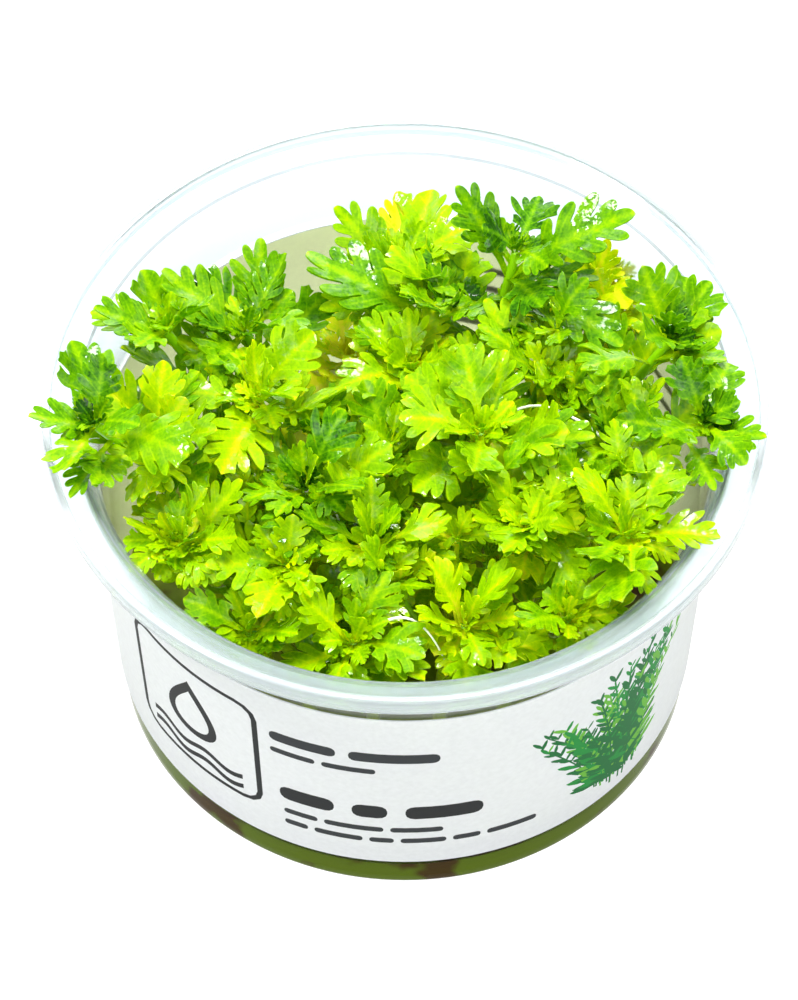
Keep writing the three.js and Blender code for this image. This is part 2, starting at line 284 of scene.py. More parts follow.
@dataclass(frozen=True)
class AgarGel:
    """Set agar with plant food in it: a cloudy olive jelly, moist, with brown bits of dead root in it."""

    clear: str = "#76861a"
    cloudy: str = "#62720c"
    brown: str = "#4a3414"
    cloud_mm: float = 7.0

    def material(self) -> bpy.types.Material:
        """Builds the material.

        Returns:
            The material.
        """
        material, tree, surface = new_material("olive_agar_gel")
        where = add_node(tree, "ShaderNodeTexCoord").outputs["Object"]
        cloud = add_node(
            tree,
            "ShaderNodeTexNoise",
            {"Scale": 1 / (self.cloud_mm * MM), "Detail": 3.0},
            {"Vector": where},
        )
        colour = add_node(
            tree,
            "ShaderNodeValToRGB",
            {"stops": [(0.35, self.clear), (0.58, self.cloudy), (0.67, self.brown)]},
            {"Fac": cloud.outputs["Fac"]},
        )
        shader = add_node(
            tree,
            "ShaderNodeBsdfPrincipled",
            {"Roughness": 0.25, "IOR": 1.15},
            {"Base Color": colour.outputs["Color"]},
        )
        tree.links.new(shader.outputs["BSDF"], surface)
        return material


@dataclass(frozen=True)
class LeafTissue:
    """A thin young leaf grown in damp air: juicy, wet in patches, and lit up where light comes through.

    The tissue's own gloss is low, at an IOR matched to the photograph. The film of water on it shines.
    """

    # From the darkest old leaves to the yellow ones, by tone
    stops: tuple[tuple[float, str], ...] = (
        (0.0, "#265c00"),
        (0.1, "#458800"),
        (0.3, "#74b400"),
        (0.55, "#a6d400"),
        (0.75, "#c6e400"),
        (0.9, "#e0ee00"),
        (1.0, "#ecec24"),
    )
    mottle_mm: float = 2.4
    # Leaf cells are about 0.05 mm wide, too fine to show, so the grain is drawn coarser
    grain_mm: float = 0.4
    grain_depth_mm: float = 0.08
    film_mm: float = 1.2
    film_depth_mm: float = 0.19
    wet_patch_mm: float = 3.0
    through: float = 0.42
    # What each adds to the tone where it is strongest
    # edge is a painted highlight: the bright line where light catches the leaf's margin and shines through
    # it
    edge: float = 0.1
    rib: float = 0.22
    stalk: float = 0.16
    vein: float = 0.12
    # Half the midrib's and a vein's width, the veins' spacing and their slant, as shares of the blade
    rib_width: float = 0.03
    vein_width: float = 0.018
    vein_spacing: float = 0.07
    vein_slant: float = 1.9

    def material(self) -> bpy.types.Material:
        """Builds the material, which reads each leaf's tone, margin and map along and across the blade.

        Returns:
            The material.
        """
        material, tree, surface = new_material("wet_leaf_tissue")
        where = add_node(tree, "ShaderNodeTexCoord").outputs["Object"]
        tone = add_node(tree, "ShaderNodeAttribute", {"attribute_name": "tone"}).outputs["Fac"]
        margin = add_node(tree, "ShaderNodeAttribute", {"attribute_name": "margin"}).outputs["Fac"]
        # A painted highlight along each leaf's margin, where light catches the edge and shines through it
        margin_painted_highlight = add_node(
            tree,
            "ShaderNodeMapRange",
            {"From Min": 0.45, "From Max": 1.0, "To Max": self.edge},
            {"Value": margin},
        )
        blade = add_node(tree, "ShaderNodeUVMap", {"uv_map": "blade"}).outputs["UV"]
        split = add_node(tree, "ShaderNodeSeparateXYZ", links={"Vector": blade})
        mottle = add_node(
            tree,
            "ShaderNodeTexNoise",
            {"Scale": 1 / (self.mottle_mm * MM), "Detail": 3.0},
            {"Vector": where},
        )
        speckle = add_node(
            tree,
            "ShaderNodeMapRange",
            {"From Min": 0.3, "From Max": 0.7, "To Min": -0.13, "To Max": 0.07},
            {"Value": mottle.outputs["Fac"]},
        )
        middle = add_node(tree, "ShaderNodeMath", {"operation": "SUBTRACT", 1: 0.5}, {0: split.outputs["Y"]})
        away = add_node(tree, "ShaderNodeMath", {"operation": "ABSOLUTE"}, {0: middle.outputs[0]})
        fading = {"interpolation_type": "SMOOTHSTEP", "To Max": 0.0}
        rib = add_node(
            tree,
            "ShaderNodeMapRange",
            {**fading, "From Max": self.rib_width, "To Min": self.rib},
            {"Value": away.outputs[0]},
        )
        stalk = add_node(
            tree,
            "ShaderNodeMapRange",
            {**fading, "From Min": 0.1, "From Max": 0.5, "To Min": self.stalk},
            {"Value": split.outputs["X"]},
        )
        slant = add_node(
            tree,
            "ShaderNodeMath",
            {"operation": "MULTIPLY_ADD", 1: -self.vein_slant},
            {0: away.outputs[0], 2: split.outputs["X"]},
        )
        comb = add_node(
            tree,
            "ShaderNodeMath",
            {"operation": "PINGPONG", 1: self.vein_spacing},
            {0: slant.outputs[0]},
        )
        vein = add_node(
            tree,
            "ShaderNodeMapRange",
            {**fading, "From Max": self.vein_width, "To Min": self.vein},
            {"Value": comb.outputs[0]},
        )
        grain = add_node(
            tree,
            "ShaderNodeTexNoise",
            {"Scale": 1 / (self.grain_mm * MM), "Detail": 2.0},
            {"Vector": where},
        )
        cells = add_node(
            tree,
            "ShaderNodeMapRange",
            {"From Min": 0.3, "From Max": 0.7, "To Min": -0.09, "To Max": 0.09},
            {"Value": grain.outputs["Fac"]},
        )
        total = tone
        for part in (speckle, cells, rib, stalk, vein, margin_painted_highlight):
            added = {0: total, 1: part.outputs["Result"]}
            total = add_node(tree, "ShaderNodeMath", {"operation": "ADD"}, added).outputs[0]
        ramp = add_node(tree, "ShaderNodeValToRGB", {"stops": self.stops}, {"Fac": total})
        colour = ramp.outputs["Color"]
        bump = add_node(
            tree,
            "ShaderNodeBump",
            {"Strength": 0.6, "Distance": self.grain_depth_mm * MM},
            {"Height": grain.outputs["Fac"]},
        )
        ripple = add_node(
            tree,
            "ShaderNodeTexNoise",
            {"Scale": 1 / (self.film_mm * MM), "Detail": 1.0},
            {"Vector": where},
        )
        film = add_node(
            tree,
            "ShaderNodeBump",
            {"Strength": 1.0, "Distance": self.film_depth_mm * MM},
            {"Height": ripple.outputs["Fac"]},
        )
        patch = add_node(
            tree,
            "ShaderNodeTexNoise",
            {"Scale": 1 / (self.wet_patch_mm * MM), "Detail": 1.0},
            {"Vector": where},
        )
        wet = add_node(
            tree,
            "ShaderNodeMapRange",
            {"From Min": 0.46, "From Max": 0.57, "To Min": 0.03, "To Max": 1.0},
            {"Value": patch.outputs["Fac"]},
        )
        shader = add_node(
            tree,
            "ShaderNodeBsdfPrincipled",
            {"Roughness": 0.5, "IOR": 1.15, "Coat Roughness": 0.11},
            {
                "Base Color": colour,
                "Normal": bump.outputs["Normal"],
                "Coat Weight": wet.outputs["Result"],
                "Coat Normal": film.outputs["Normal"],
            },
        )
        glow = add_node(tree, "ShaderNodeBsdfTranslucent", links={"Color": colour})
        mixed = add_node(
            tree,
            "ShaderNodeMixShader",
            {"Fac": self.through},
            {1: shader.outputs["BSDF"], 2: glow.outputs["BSDF"]},
        )
        tree.links.new(mixed.outputs["Shader"], surface)
        return material


@dataclass(frozen=True)
class StemTissue:
    """A juicy stem that paled in the shade of its leaves: yellow-green, smooth and moist."""

    name: str = "juicy_stem_tissue"
    low: str = "#c9df2e"
    high: str = "#8fd006"
    roughness: float = 0.3
    pale_below_mm: float = 15.0
    green_above_mm: float = 58.0
    streak_mm: float = 1.5

    def material(self) -> bpy.types.Material:
        """Builds the material.

        Returns:
            The material, paler towards the gel.
        """
        material, tree, surface = new_material(self.name)
        where = add_node(tree, "ShaderNodeTexCoord").outputs["Object"]
        split = add_node(tree, "ShaderNodeSeparateXYZ", links={"Vector": where})
        height = add_node(
            tree,
            "ShaderNodeMapRange",
            {"From Min": self.pale_below_mm * MM, "From Max": self.green_above_mm * MM},
            {"Value": split.outputs["Z"]},
        )
        streak = add_node(
            tree,
            "ShaderNodeTexNoise",
            {"Scale": 1 / (self.streak_mm * MM), "Detail": 2.0},
            {"Vector": where},
        )
        mixed = add_node(
            tree,
            "ShaderNodeMath",
            {"operation": "MULTIPLY_ADD", 1: 0.35},
            {0: streak.outputs["Fac"], 2: height.outputs["Result"]},
        )
        colour = add_node(
            tree,
            "ShaderNodeValToRGB",
            {"stops": [(0.1, self.low), (1.0, self.high)]},
            {"Fac": mixed.outputs[0]},
        )
        shader = add_node(
            tree,
            "ShaderNodeBsdfPrincipled",
            {"Roughness": self.roughness, "IOR": 1.4, "Coat Weight": 0.2, "Coat Roughness": 0.15},
            {"Base Color": colour.outputs["Color"]},
        )
        tree.links.new(shader.outputs["BSDF"], surface)
        return material


# Helpers for meshes


def start_fresh() -> None:
    """Leaves edit mode and deselects everything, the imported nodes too."""
    if bpy.context.object and bpy.context.object.mode != "OBJECT":
        bpy.ops.object.mode_set(mode="OBJECT")
    bpy.ops.object.select_all(action="DESELECT")


def select_only(*objects: bpy.types.Object) -> None:
    """Selects just the given objects.

    Args:
        *objects: The objects, of which the first becomes the active one.
    """
    start_fresh()
    for obj in objects:
        obj.select_set(True)
    bpy.context.view_layer.objects.active = objects[0]


def pick_vertices(obj: bpy.types.Object, wanted: Callable[[Vector], bool]) -> None:
    """Selects, in edit mode, just the vertices that a test accepts.

    Args:
        obj: The object in edit mode.
        wanted: The test on a vertex's place.
    """
    mesh = bmesh.from_edit_mesh(obj.data)
    bpy.ops.mesh.select_all(action="DESELECT")
    bpy.ops.mesh.select_mode(type="VERT")
    for vertex in mesh.verts:
        vertex.select = wanted(vertex.co)
    mesh.select_flush(True)
    bmesh.update_edit_mesh(obj.data)


def apply_modifier(obj: bpy.types.Object, kind: str, **settings: object) -> None:
    """Adds a modifier to an object and applies it at once.

    Args:
        obj: The object, which becomes the active one.
        kind: The modifier's Blender type name.
        **settings: Its properties.
    """
    modifier = obj.modifiers.new(kind.lower(), kind)
    for name, value in settings.items():
        setattr(modifier, name, value)
    bpy.context.view_layer.objects.active = obj
    bpy.ops.object.modifier_apply(modifier=modifier.name)


def dress(
    obj: bpy.types.Object,
    name: str,
    materials: Iterable[bpy.types.Material] = (),
    stands_for: Iterable[str] = (),
) -> bpy.types.Object:
    """Names a finished piece, gives it its materials and rides it on the object.

    Args:
        obj: The piece, with its place in its mesh.
        name: Its name.
        materials: Its materials in slot order, or none to keep those it has.
        stands_for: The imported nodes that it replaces.

    Returns:
        The piece.
    """
    obj.name = name
    obj.data.name = name
    materials = list(materials)
    if materials:
        kept = [polygon.material_index for polygon in obj.data.polygons]
        obj.data.materials.clear()
        for material in materials:
            obj.data.materials.append(material)
        obj.data.polygons.foreach_set("material_index", kept)
    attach(obj, BODY)
    if stands_for:
        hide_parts(*stands_for)
    LOG.info("%s: %d faces", name, len(obj.data.polygons))
    return obj


def spun_profile(name: str, profile: Sequence[tuple[float, float]], steps: int) -> bpy.types.Object:
    """Models a round piece: a profile drawn vertex by vertex, then spun about the vertical axis.

    Args:
        name: The object's name.
        profile: Radius and height of each point in millimetres, from the axis back to the axis.
        steps: How many steps the spin takes.

    Returns:
        The closed object, with faces pointing outwards.
    """
    start_fresh()
    radius, height = profile[0]
    bpy.ops.mesh.primitive_plane_add(size=MM, location=(0.0, 0.0, 0.0))
    obj = bpy.context.object
    obj.name = name
    bpy.ops.object.mode_set(mode="EDIT")
    bpy.ops.mesh.merge(type="CENTER")
    bpy.ops.transform.translate(value=(radius * MM, 0.0, height * MM))
    for (r0, z0), (r1, z1) in zip(profile, profile[1:]):
        move = ((r1 - r0) * MM, 0.0, (z1 - z0) * MM)
        bpy.ops.mesh.extrude_region_move(TRANSFORM_OT_translate={"value": move})
    bpy.ops.mesh.select_all(action="SELECT")
    bpy.ops.mesh.spin(steps=steps, angle=2 * math.pi, center=(0.0, 0.0, 0.0), axis=(0.0, 0.0, 1.0))
    bpy.ops.mesh.select_all(action="SELECT")
    bpy.ops.mesh.remove_doubles(threshold=0.002 * MM)
    bpy.ops.mesh.normals_make_consistent(inside=False)
    bpy.ops.object.mode_set(mode="OBJECT")
    return obj


# Leaves


def tube(
    path: tuple[Vector, Vector, Vector],
    radius: float,
    taper: tuple[float, float],
    material: bpy.types.Material,
) -> bpy.types.Object:
    """Models a stem, stalk or root as a round tube along a quadratic curve.

    Args:
        path: The curve's two ends with its control point between them, in metres.
        radius: The tube's radius in metres.
        taper: What the radius is multiplied by at the two ends.
        material: The tube's material.

    Returns:
        The tube's mesh object, closed at both ends.
    """
    start_fresh()
    root, knee, end = path
    bpy.ops.curve.primitive_bezier_curve_add(location=(0.0, 0.0, 0.0))
    obj = bpy.context.object
    first, last = obj.data.splines[0].bezier_points
    for point in (first, last):
        point.handle_left_type = point.handle_right_type = "FREE"
    first.co, last.co = root, end
    first.handle_left, first.handle_right = root, root + (knee - root) * 2 / 3
    last.handle_left, last.handle_right = end + (knee - end) * 2 / 3, end
    first.radius, last.radius = taper
    obj.data.bevel_depth = radius
    obj.data.bevel_resolution = 2
    obj.data.resolution_u = 12
    obj.data.use_fill_caps = True
    obj.data.materials.append(material)
    bpy.ops.object.convert(target="MESH")
    obj = bpy.context.object
    for polygon in obj.data.polygons:
        polygon.use_smooth = True
    return obj


@dataclass
class LeafForm:
    """One shape of leaf, modelled flat with its base at the origin, its tip at 1 on X and its face up.

    The blade starts as a strip along the midrib. A lobe is pushed out of every second stretch of each of
    the strip's edges in a few steps, which turn it to face its own way, and the terminal lobe out of the
    strip's end. Some lobes have a tooth on a side. The cage is then smoothed and thickened, and its
    margin is marked for the material.
    """

    # The strip's rows: their places along the leaf, and half their widths
    spine: tuple[float, ...]
    widths: tuple[float, ...]
    first_lobe: int
    # Each lobe's reach and its angle in degrees to the midrib, from the base on
    lobes: tuple[tuple[float, float], ...]
    tip: float = 1.0
    # How far the lobes' ends may drop and rise
    curl: tuple[float, float] = (-0.1, 0.3)
    # Each step's share of a lobe's reach, and the width that it leaves
    steps: tuple[tuple[float, float], ...] = ((0.43, 1.0), (0.33, 0.85), (0.24, 0.14))
    turn_shares: tuple[float, ...] = (0.6, 0.3, 0.0)
    # A tooth's length as a share of its lobe's, and how many sides have one
    tooth: float = 0.22
    toothed: float = 0.2
    forward: float = 0.1
    margin_body: float = 0.3
    rounds: int = 1
    thickness: float = 0.03
    seed: int = 1
    points: np.ndarray = field(default_factory=lambda: np.zeros((0, 3)), init=False)
    margin: np.ndarray = field(default_factory=lambda: np.zeros(0), init=False)
    faces: list[tuple[int, ...]] = field(default_factory=list, init=False)

    def _shape_strip(self, obj: bpy.types.Object) -> None:
        """Moves the rows of the strip to their places along and across the leaf.

        Args:
            obj: The strip in edit mode, its vertices on a square grid of side 2.
        """
        rows = len(self.spine)
        for row in range(rows):
            at = -1.0 + 2.0 * row / (rows - 1)
            pick_vertices(obj, lambda co, at=at: abs(co.x - at) < 1e-4 and abs(co.z) < 0.5)
            bpy.ops.transform.resize(value=(1.0, self.widths[row], 1.0), center_override=(at, 0.0, 0.0))
            bpy.ops.transform.translate(value=(self.spine[row] - at, 0.0, 10.0))
        bpy.ops.mesh.select_all(action="SELECT")
        bpy.ops.transform.translate(value=(0.0, 0.0, -10.0))

    def _push(
        self,
        obj: bpy.types.Object,
        ends: list[Vector],
        way: Vector,
        reach: float,
        squeeze: float,
        turn: float = 0.0,
    ) -> list[Vector]:
        """Extrudes the edge between given points, and narrows and turns the new edge.

        Args:
            obj: The cage in edit mode.
            ends: The places of the edge's vertices.
            way: The direction of the push.
            reach: How far it goes.
            squeeze: The new edge's length as a share of the old one's.
            turn: The turn of the new edge in the leaf's plane, counter-clockwise.

        Returns:
            The places of the new edge's vertices.
        """
        pick_vertices(obj, lambda co: any((co - end).length < 1e-4 for end in ends))
        bpy.ops.mesh.extrude_edges_move(TRANSFORM_OT_translate={"value": way * reach})
        moved = [end + way * reach for end in ends]
        centre = sum(moved, Vector()) / len(moved)
        bpy.ops.transform.resize(value=(squeeze,) * 3, center_override=centre)
        # With no window, rotate turns the other way
        bpy.ops.transform.rotate(value=-turn, orient_axis="Z", center_override=centre)
        spin = Quaternion(UP, turn)
        return [centre + spin @ (end - centre) * squeeze for end in moved]

    def _lobe(
        self,
        obj: bpy.types.Object,
        ends: list[Vector],
        way: Vector,
        reach: float,
        turn: float,
        rng: random.Random,
    ) -> None:
        """Pushes one lobe out of an edge: full in its middle, blunt at its end, and at times with a tooth.

        Args:
            obj: The cage in edit mode.
            ends: The places of the edge's vertices.
            way: The direction of the lobe.
            reach: Its length.
            turn: How far its end turns to face the lobe's direction.
            rng: The source of which sides have a tooth.
        """
        for index, (share, squeeze) in enumerate(self.steps):
            near = ends
            ends = self._push(obj, near, way, share * reach, squeeze, self.turn_shares[index] * turn)
            if index == 1 and self.tooth > 0:
                for old, new, other in ((near[0], ends[0], ends[-1]), (near[-1], ends[-1], ends[0])):
                    out = (new - other).normalized() * 0.8 + way.normalized()
                    if rng.random() < self.toothed:
                        self._push(obj, [old, new], out, self.tooth * reach * rng.uniform(0.8, 1.2), 0.35)
            way = way + Vector((self.forward, 0.0, 0.0))

    def build(self) -> "LeafForm":
        """Models the leaf and keeps its points and faces.

        Returns:
            The form itself.
        """
        rng = random.Random(self.seed)
        start_fresh()
        rows = len(self.spine)
        bpy.ops.mesh.primitive_grid_add(x_subdivisions=rows - 1, y_subdivisions=2, size=2.0)
        obj = bpy.context.object
        bpy.ops.object.mode_set(mode="EDIT")
        self._shape_strip(obj)
        for side in (1.0, -1.0):
            for index, (reach, angle) in enumerate(self.lobes):
                row = self.first_lobe + 2 * index
                ends = [Vector((self.spine[r], side * self.widths[r], 0.0)) for r in (row, row + 1)]
                turn = math.radians(angle + rng.uniform(-7, 7))
                way = Vector((math.cos(turn), side * math.sin(turn), rng.uniform(*self.curl)))
                square = side * (turn - math.pi / 2)
                self._lobe(obj, ends, way, reach * rng.uniform(0.82, 1.15), square, rng)
        last = [Vector((self.spine[-1], y * self.widths[-1], 0.0)) for y in (-1.0, 0.0, 1.0)]
        way = Vector((1.0, 0.0, rng.uniform(*self.curl)))
        self._lobe(obj, last, way, self.tip - self.spine[-1], 0.0, rng)
        bpy.ops.object.mode_set(mode="OBJECT")
        self._thicken(obj)
        self._keep(obj)
        return self

    def _thicken(self, obj: bpy.types.Object) -> None:
        """Smooths the cage and gives it body, most along the midrib and least at the margin.

        Args:
            obj: The flat cage in object mode.
        """
        group = obj.vertex_groups.new(name="body")
        for vertex in obj.data.vertices:
            on_rib = abs(vertex.co.y) < 1e-4
            group.add([vertex.index], 1.0 if on_rib else self.margin_body, "REPLACE")
        if self.rounds:
            apply_modifier(obj, "SUBSURF", levels=self.rounds, render_levels=self.rounds)
        uses = Counter(key for polygon in obj.data.polygons for key in polygon.edge_keys)
        rim = {index for key, count in uses.items() if count == 1 for index in key}
        at_rim = [float(index in rim) for index in range(len(obj.data.vertices))]
        obj.data.attributes.new("margin", "FLOAT", "POINT").data.foreach_set("value", at_rim)
        apply_modifier(
            obj,
            "SOLIDIFY",
            thickness=self.thickness,
            offset=-1.0,
            vertex_group="body",
            thickness_vertex_group=0.25,
        )

    def _keep(self, obj: bpy.types.Object) -> None:
        """Copies the mesh's points and faces, and removes the object.

        Args:
            obj: The finished master.
        """
        points = np.empty(len(obj.data.vertices) * 3)
        obj.data.vertices.foreach_get("co", points)
        self.points = points.reshape(-1, 3)
        self.points[:, 0] /= self.points[:, 0].max()
        self.margin = np.empty(len(obj.data.vertices))
        obj.data.attributes["margin"].data.foreach_get("value", self.margin)
        self.faces = [tuple(polygon.vertices) for polygon in obj.data.polygons]
        bpy.data.objects.remove(obj)


@dataclass
class LeafCopy:
    """One leaf at its place: a form bent over its length, folded along its midrib and set on its stem."""

    form: LeafForm
    base: Vector
    tip: Vector
    width: float
    bend: float
    fold: float = 0.25
    twist: float = 0.0
    tone: float = 0.5
    wave: float = 0.0
    phase: float = 0.0

    def points(self) -> np.ndarray:
        """Works out where the form's points lie on this leaf.

        Returns:
            A row of X, Y and Z in metres for each point.
        """
        chord = self.tip - self.base
        bend = max(abs(self.bend), 1e-3) * (1 if self.bend >= 0 else -1)
        length = chord.length * abs(bend) / (2 * math.sin(abs(bend) / 2))
        x, y, z = (self.form.points * (length, self.width, length)).T
        share = x / length
        out = y / self.width
        ruffle = np.sin(6.0 * share + 9.0 * out + self.phase)
        ruffle = ruffle + 0.7 * np.sin(11.0 * share - 7.0 * out + 2 * self.phase)
        z = z + self.fold * np.abs(y) - self.fold * 1.1 * y * y / self.width
        z = z + self.wave * length * ruffle * np.minimum(1.0, 0.2 + 3 * np.abs(out))
        turn = share * self.twist
        y, z = y * np.cos(turn) - z * np.sin(turn), y * np.sin(turn) + z * np.cos(turn)
        radius = length / bend
        angle = x / radius
        x, z = (radius + z) * np.sin(angle), (radius + z) * np.cos(angle) - radius
        ahead = chord.normalized()
        side = UP.cross(ahead)
        side = side.normalized() if side.length > 1e-3 else Vector((1.0, 0.0, 0.0))
        lifted = Quaternion(side, -bend / 2)
        ahead = lifted @ ahead
        above = ahead.cross(side)
        axes = np.array([ahead, side, above])
        return np.array(self.base) + np.column_stack([x, y, z]) @ axes


def joined_leaves(name: str, leaves: Sequence[LeafCopy], material: bpy.types.Material) -> bpy.types.Object:
    """Joins leaves in one mesh that carries each leaf's tone and its map along and across the blade.

    Args:
        name: The object's name.
        leaves: The leaves.
        material: The leaf material.

    Returns:
        The new object.
    """
    points, faces, tones, margins, maps = [], [], [], [], []
    count = 0
    for leaf in leaves:
        flat = leaf.form.points
        points.append(leaf.points())
        faces.extend(tuple(count + index for index in face) for face in leaf.form.faces)
        tones.append(np.full(len(flat), leaf.tone))
        margins.append(leaf.form.margin)
        maps.append(np.column_stack([flat[:, 0], 0.5 + 0.5 * flat[:, 1]]))
        count += len(flat)
    mesh = bpy.data.meshes.new(name)
    mesh.from_pydata(np.concatenate(points).tolist(), [], faces)
    mesh.attributes.new("tone", "FLOAT", "POINT").data.foreach_set("value", np.concatenate(tones))
    mesh.attributes.new("margin", "FLOAT", "POINT").data.foreach_set("value", np.concatenate(margins))
    corners = np.empty(len(mesh.loops), int)
    mesh.loops.foreach_get("vertex_index", corners)
    uv = mesh.uv_layers.new(name="blade")
    uv.data.foreach_set("uv", np.concatenate(maps)[corners].ravel())
    mesh.materials.append(material)
    obj = bpy.data.objects.new(name, mesh)
    bpy.context.scene.collection.objects.link(obj)
    select_only(obj)
    bpy.ops.object.shade_smooth_by_angle(angle=SMOOTH_ANGLE)
    return obj


# The plants


def direction(around: float, rise: float) -> Vector:
    """A direction given by its angle round the vertical and its angle above level."""
    return Vector((math.cos(around) * math.cos(rise), math.sin(around) * math.cos(rise), math.sin(rise)))


@dataclass
class Shoot:
    """One young plant: a stem rooted in the gel, and the crown of leaves at its end.

    The places repeat those of the solids, in millimetres. The reach of each leaf of the outer whorl is
    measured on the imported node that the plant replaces.
    """

    # The plant's number, the middle of its crown, its size, its large leaves' tips and its leaves' tone
    number: int
    at: tuple[float, float, float]
    size: float
    tips: tuple[tuple[float, float, float], ...] = ()
    tone: float = 0.5
    # What the young leaves of the heart add to the tone
    heart: float = 0.1
    side_shoot_count: int = 2
    inner_reach: float = 0.65
    root_spread: float = 0.62
    root_height: float = 5.5
    knee_height: float = 0.6
    stem_radius: float = 0.85
    whorl_rise: tuple[float, ...] = (10, 30, 14, 34, 22)
    full_reach: float = 12.5
    # How far round a leaf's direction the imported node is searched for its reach, in degrees
    search_cone: float = 16.0
    search_turns: tuple[float, ...] = (0, 8, -8)
    leaf_bend: float = 0.7
    heart_leaf_count: int = 7
    stem_leaf_count: int = 7
    stem_leaf_from: float = 2.5
    stem_leaf_step: float = 2.4
    stem_leaf_reach: tuple[float, float] = (11, 16)
    side_shoot_reach: tuple[float, float] = (8, 12)
    side_leaf_count: int = 9
    side_broad_count: int = 6
    leaf_start: float = 4.2
    # The room for leaves: its radius at the gel, how much it widens a millimetre, and above the wall
    room: float = 38.6
    room_taper: float = 0.05
    wall_top: float = 56.0
    room_above: float = 46.0

    @property
    def node(self) -> str:
        """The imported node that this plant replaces."""
        return f"shoot_{self.number:02d}"

    def crown(self) -> Vector:
        """The middle of the crown, in metres."""
        return Vector(self.at) * MM

    def path(self) -> tuple[Vector, Vector, Vector]:
        """Lays out the stem's curve.

        Returns:
            Its root, knee and end in metres: a quadratic curve's points.
        """
        end = self.crown()
        root = Vector((self.root_spread * end.x, self.root_spread * end.y, self.root_height * MM))
        knee = Vector((root.x, root.y, root.z + self.knee_height * (end.z - root.z)))
        return root, knee, end

    def along(self, share: float) -> Vector:
        """A point on the stem.

        Args:
            share: How far along the curve, from 0 at the root to 1 at the crown.

        Returns:
            The point, in metres.
        """
        root, knee, end = self.path()
        return (1 - share) ** 2 * root + 2 * share * (1 - share) * knee + share**2 * end

    def leaf_foot(self) -> Vector:
        """Where the large leaves leave the stem."""
        _, knee, end = self.path()
        return end - (end - knee).normalized() * self.leaf_start * MM

    def heading(self, around: float, rise: float) -> Vector:
        """The direction of a leaf of the crown, on a stem that leans.

        Args:
            around: The angle round the stem.
            rise: The angle above the crown's plane.

        Returns:
            The direction, of length 1.
        """
        _, knee, end = self.path()
        lean = UP.rotation_difference((end - knee).normalized())
        return lean @ direction(around, rise)

    def measured_reach(self, way: Vector) -> float:
        """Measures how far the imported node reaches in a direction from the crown.

        Args:
            way: The direction.

        Returns:
            The reach in metres.
        """
        crown = self.crown()
        reach = 0.0
        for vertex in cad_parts[self.node].data.vertices:
            offset = vertex.co - crown
            near = offset.normalized().dot(way) > math.cos(math.radians(self.search_cone))
            if near and offset.length > 2 * MM:
                reach = max(reach, offset.length)
        return reach

    def stem(self, material: bpy.types.Material) -> bpy.types.Object:
        """Models the stem as a tapered tube along its curve.

        Args:
            material: The stem's material.

        Returns:
            The stem's mesh object.
        """
        return tube(self.path(), self.stem_radius * MM, (1.15, 0.8), material)

    def crown_leaves(self, forms: "LeafForms", rng: random.Random) -> list[LeafCopy]:
        """Lists the leaves of the crown.

        Args:
            forms: The leaf forms to choose from.
            rng: The source of each leaf's small differences.

        Returns:
            An outer whorl at the solid's reach, an inner whorl between, and the young leaves of the heart.
        """
        first = GOLDEN_ANGLE * (self.number - 1)
        step = 2 * math.pi / len(self.whorl_rise)
        full = self.full_reach * self.size * MM
        leaves = []
        for k, rise in enumerate(self.whorl_rise):
            turns = [first + step * k + math.radians(turn) for turn in self.search_turns]
            ways = [self.heading(turn, math.radians(rise)) for turn in turns]
            reach, way = max(((self.measured_reach(way), way) for way in ways), key=lambda found: found[0])
            leaves.append(self._leaf(forms.broad(rng), way * max(reach, 0.5 * full), rng, 0.0))
            around = first + step * (k + 0.5) + rng.uniform(-0.3, 0.3)
            way = self.heading(around, math.radians(rise + rng.uniform(0, 25)))
            form = forms.broad(rng)
            inner = way * full * rng.uniform(0.8, 1.2) * self.inner_reach
            leaves.append(self._leaf(form, inner, rng, 0.04))
        for k in range(self.heart_leaf_count):
            around = first + GOLDEN_ANGLE * k
            way = self.heading(around, math.radians(40 + 6 * k))
            leaves.append(self._leaf(forms.young(rng), way * full * (0.5 - 0.05 * k), rng, self.heart))
        return leaves

    def stem_leaves(self, forms: "LeafForms", rng: random.Random) -> list[LeafCopy]:
        """Lists the older leaves along the stem, which fill the room under the crowns.

        Args:
            forms: The leaf forms to choose from.
            rng: The source of each leaf's small differences.

        Returns:
            The leaves, from the crown down, each a little yellower than the one above it: partly as older
            leaves yellow, partly painted light that lifts the shade under the crowns.
        """
        root, _, end = self.path()
        length = (end - root).length
        leaves = []
        for k in range(self.stem_leaf_count):
            below = (self.stem_leaf_from + self.stem_leaf_step * k) * MM
            base = self.along(1 - below / length)
            around = GOLDEN_ANGLE * (self.number + k) + rng.uniform(-0.5, 0.5)
            rise = math.radians(rng.uniform(8, 38))
            reach = rng.uniform(*self.stem_leaf_reach) * MM
            tip = self._inside_cup(base + direction(around, rise) * reach)
            # The tone rising down the stem is partly the yellowing of older leaves and partly painted light
            # against the shade that the crowns cast
            leaf = self._leaf(forms.broad(rng), tip - base, rng, 0.04 + 0.015 * k)
            leaf.base, leaf.tip = base, tip
            leaves.append(leaf)
        return leaves

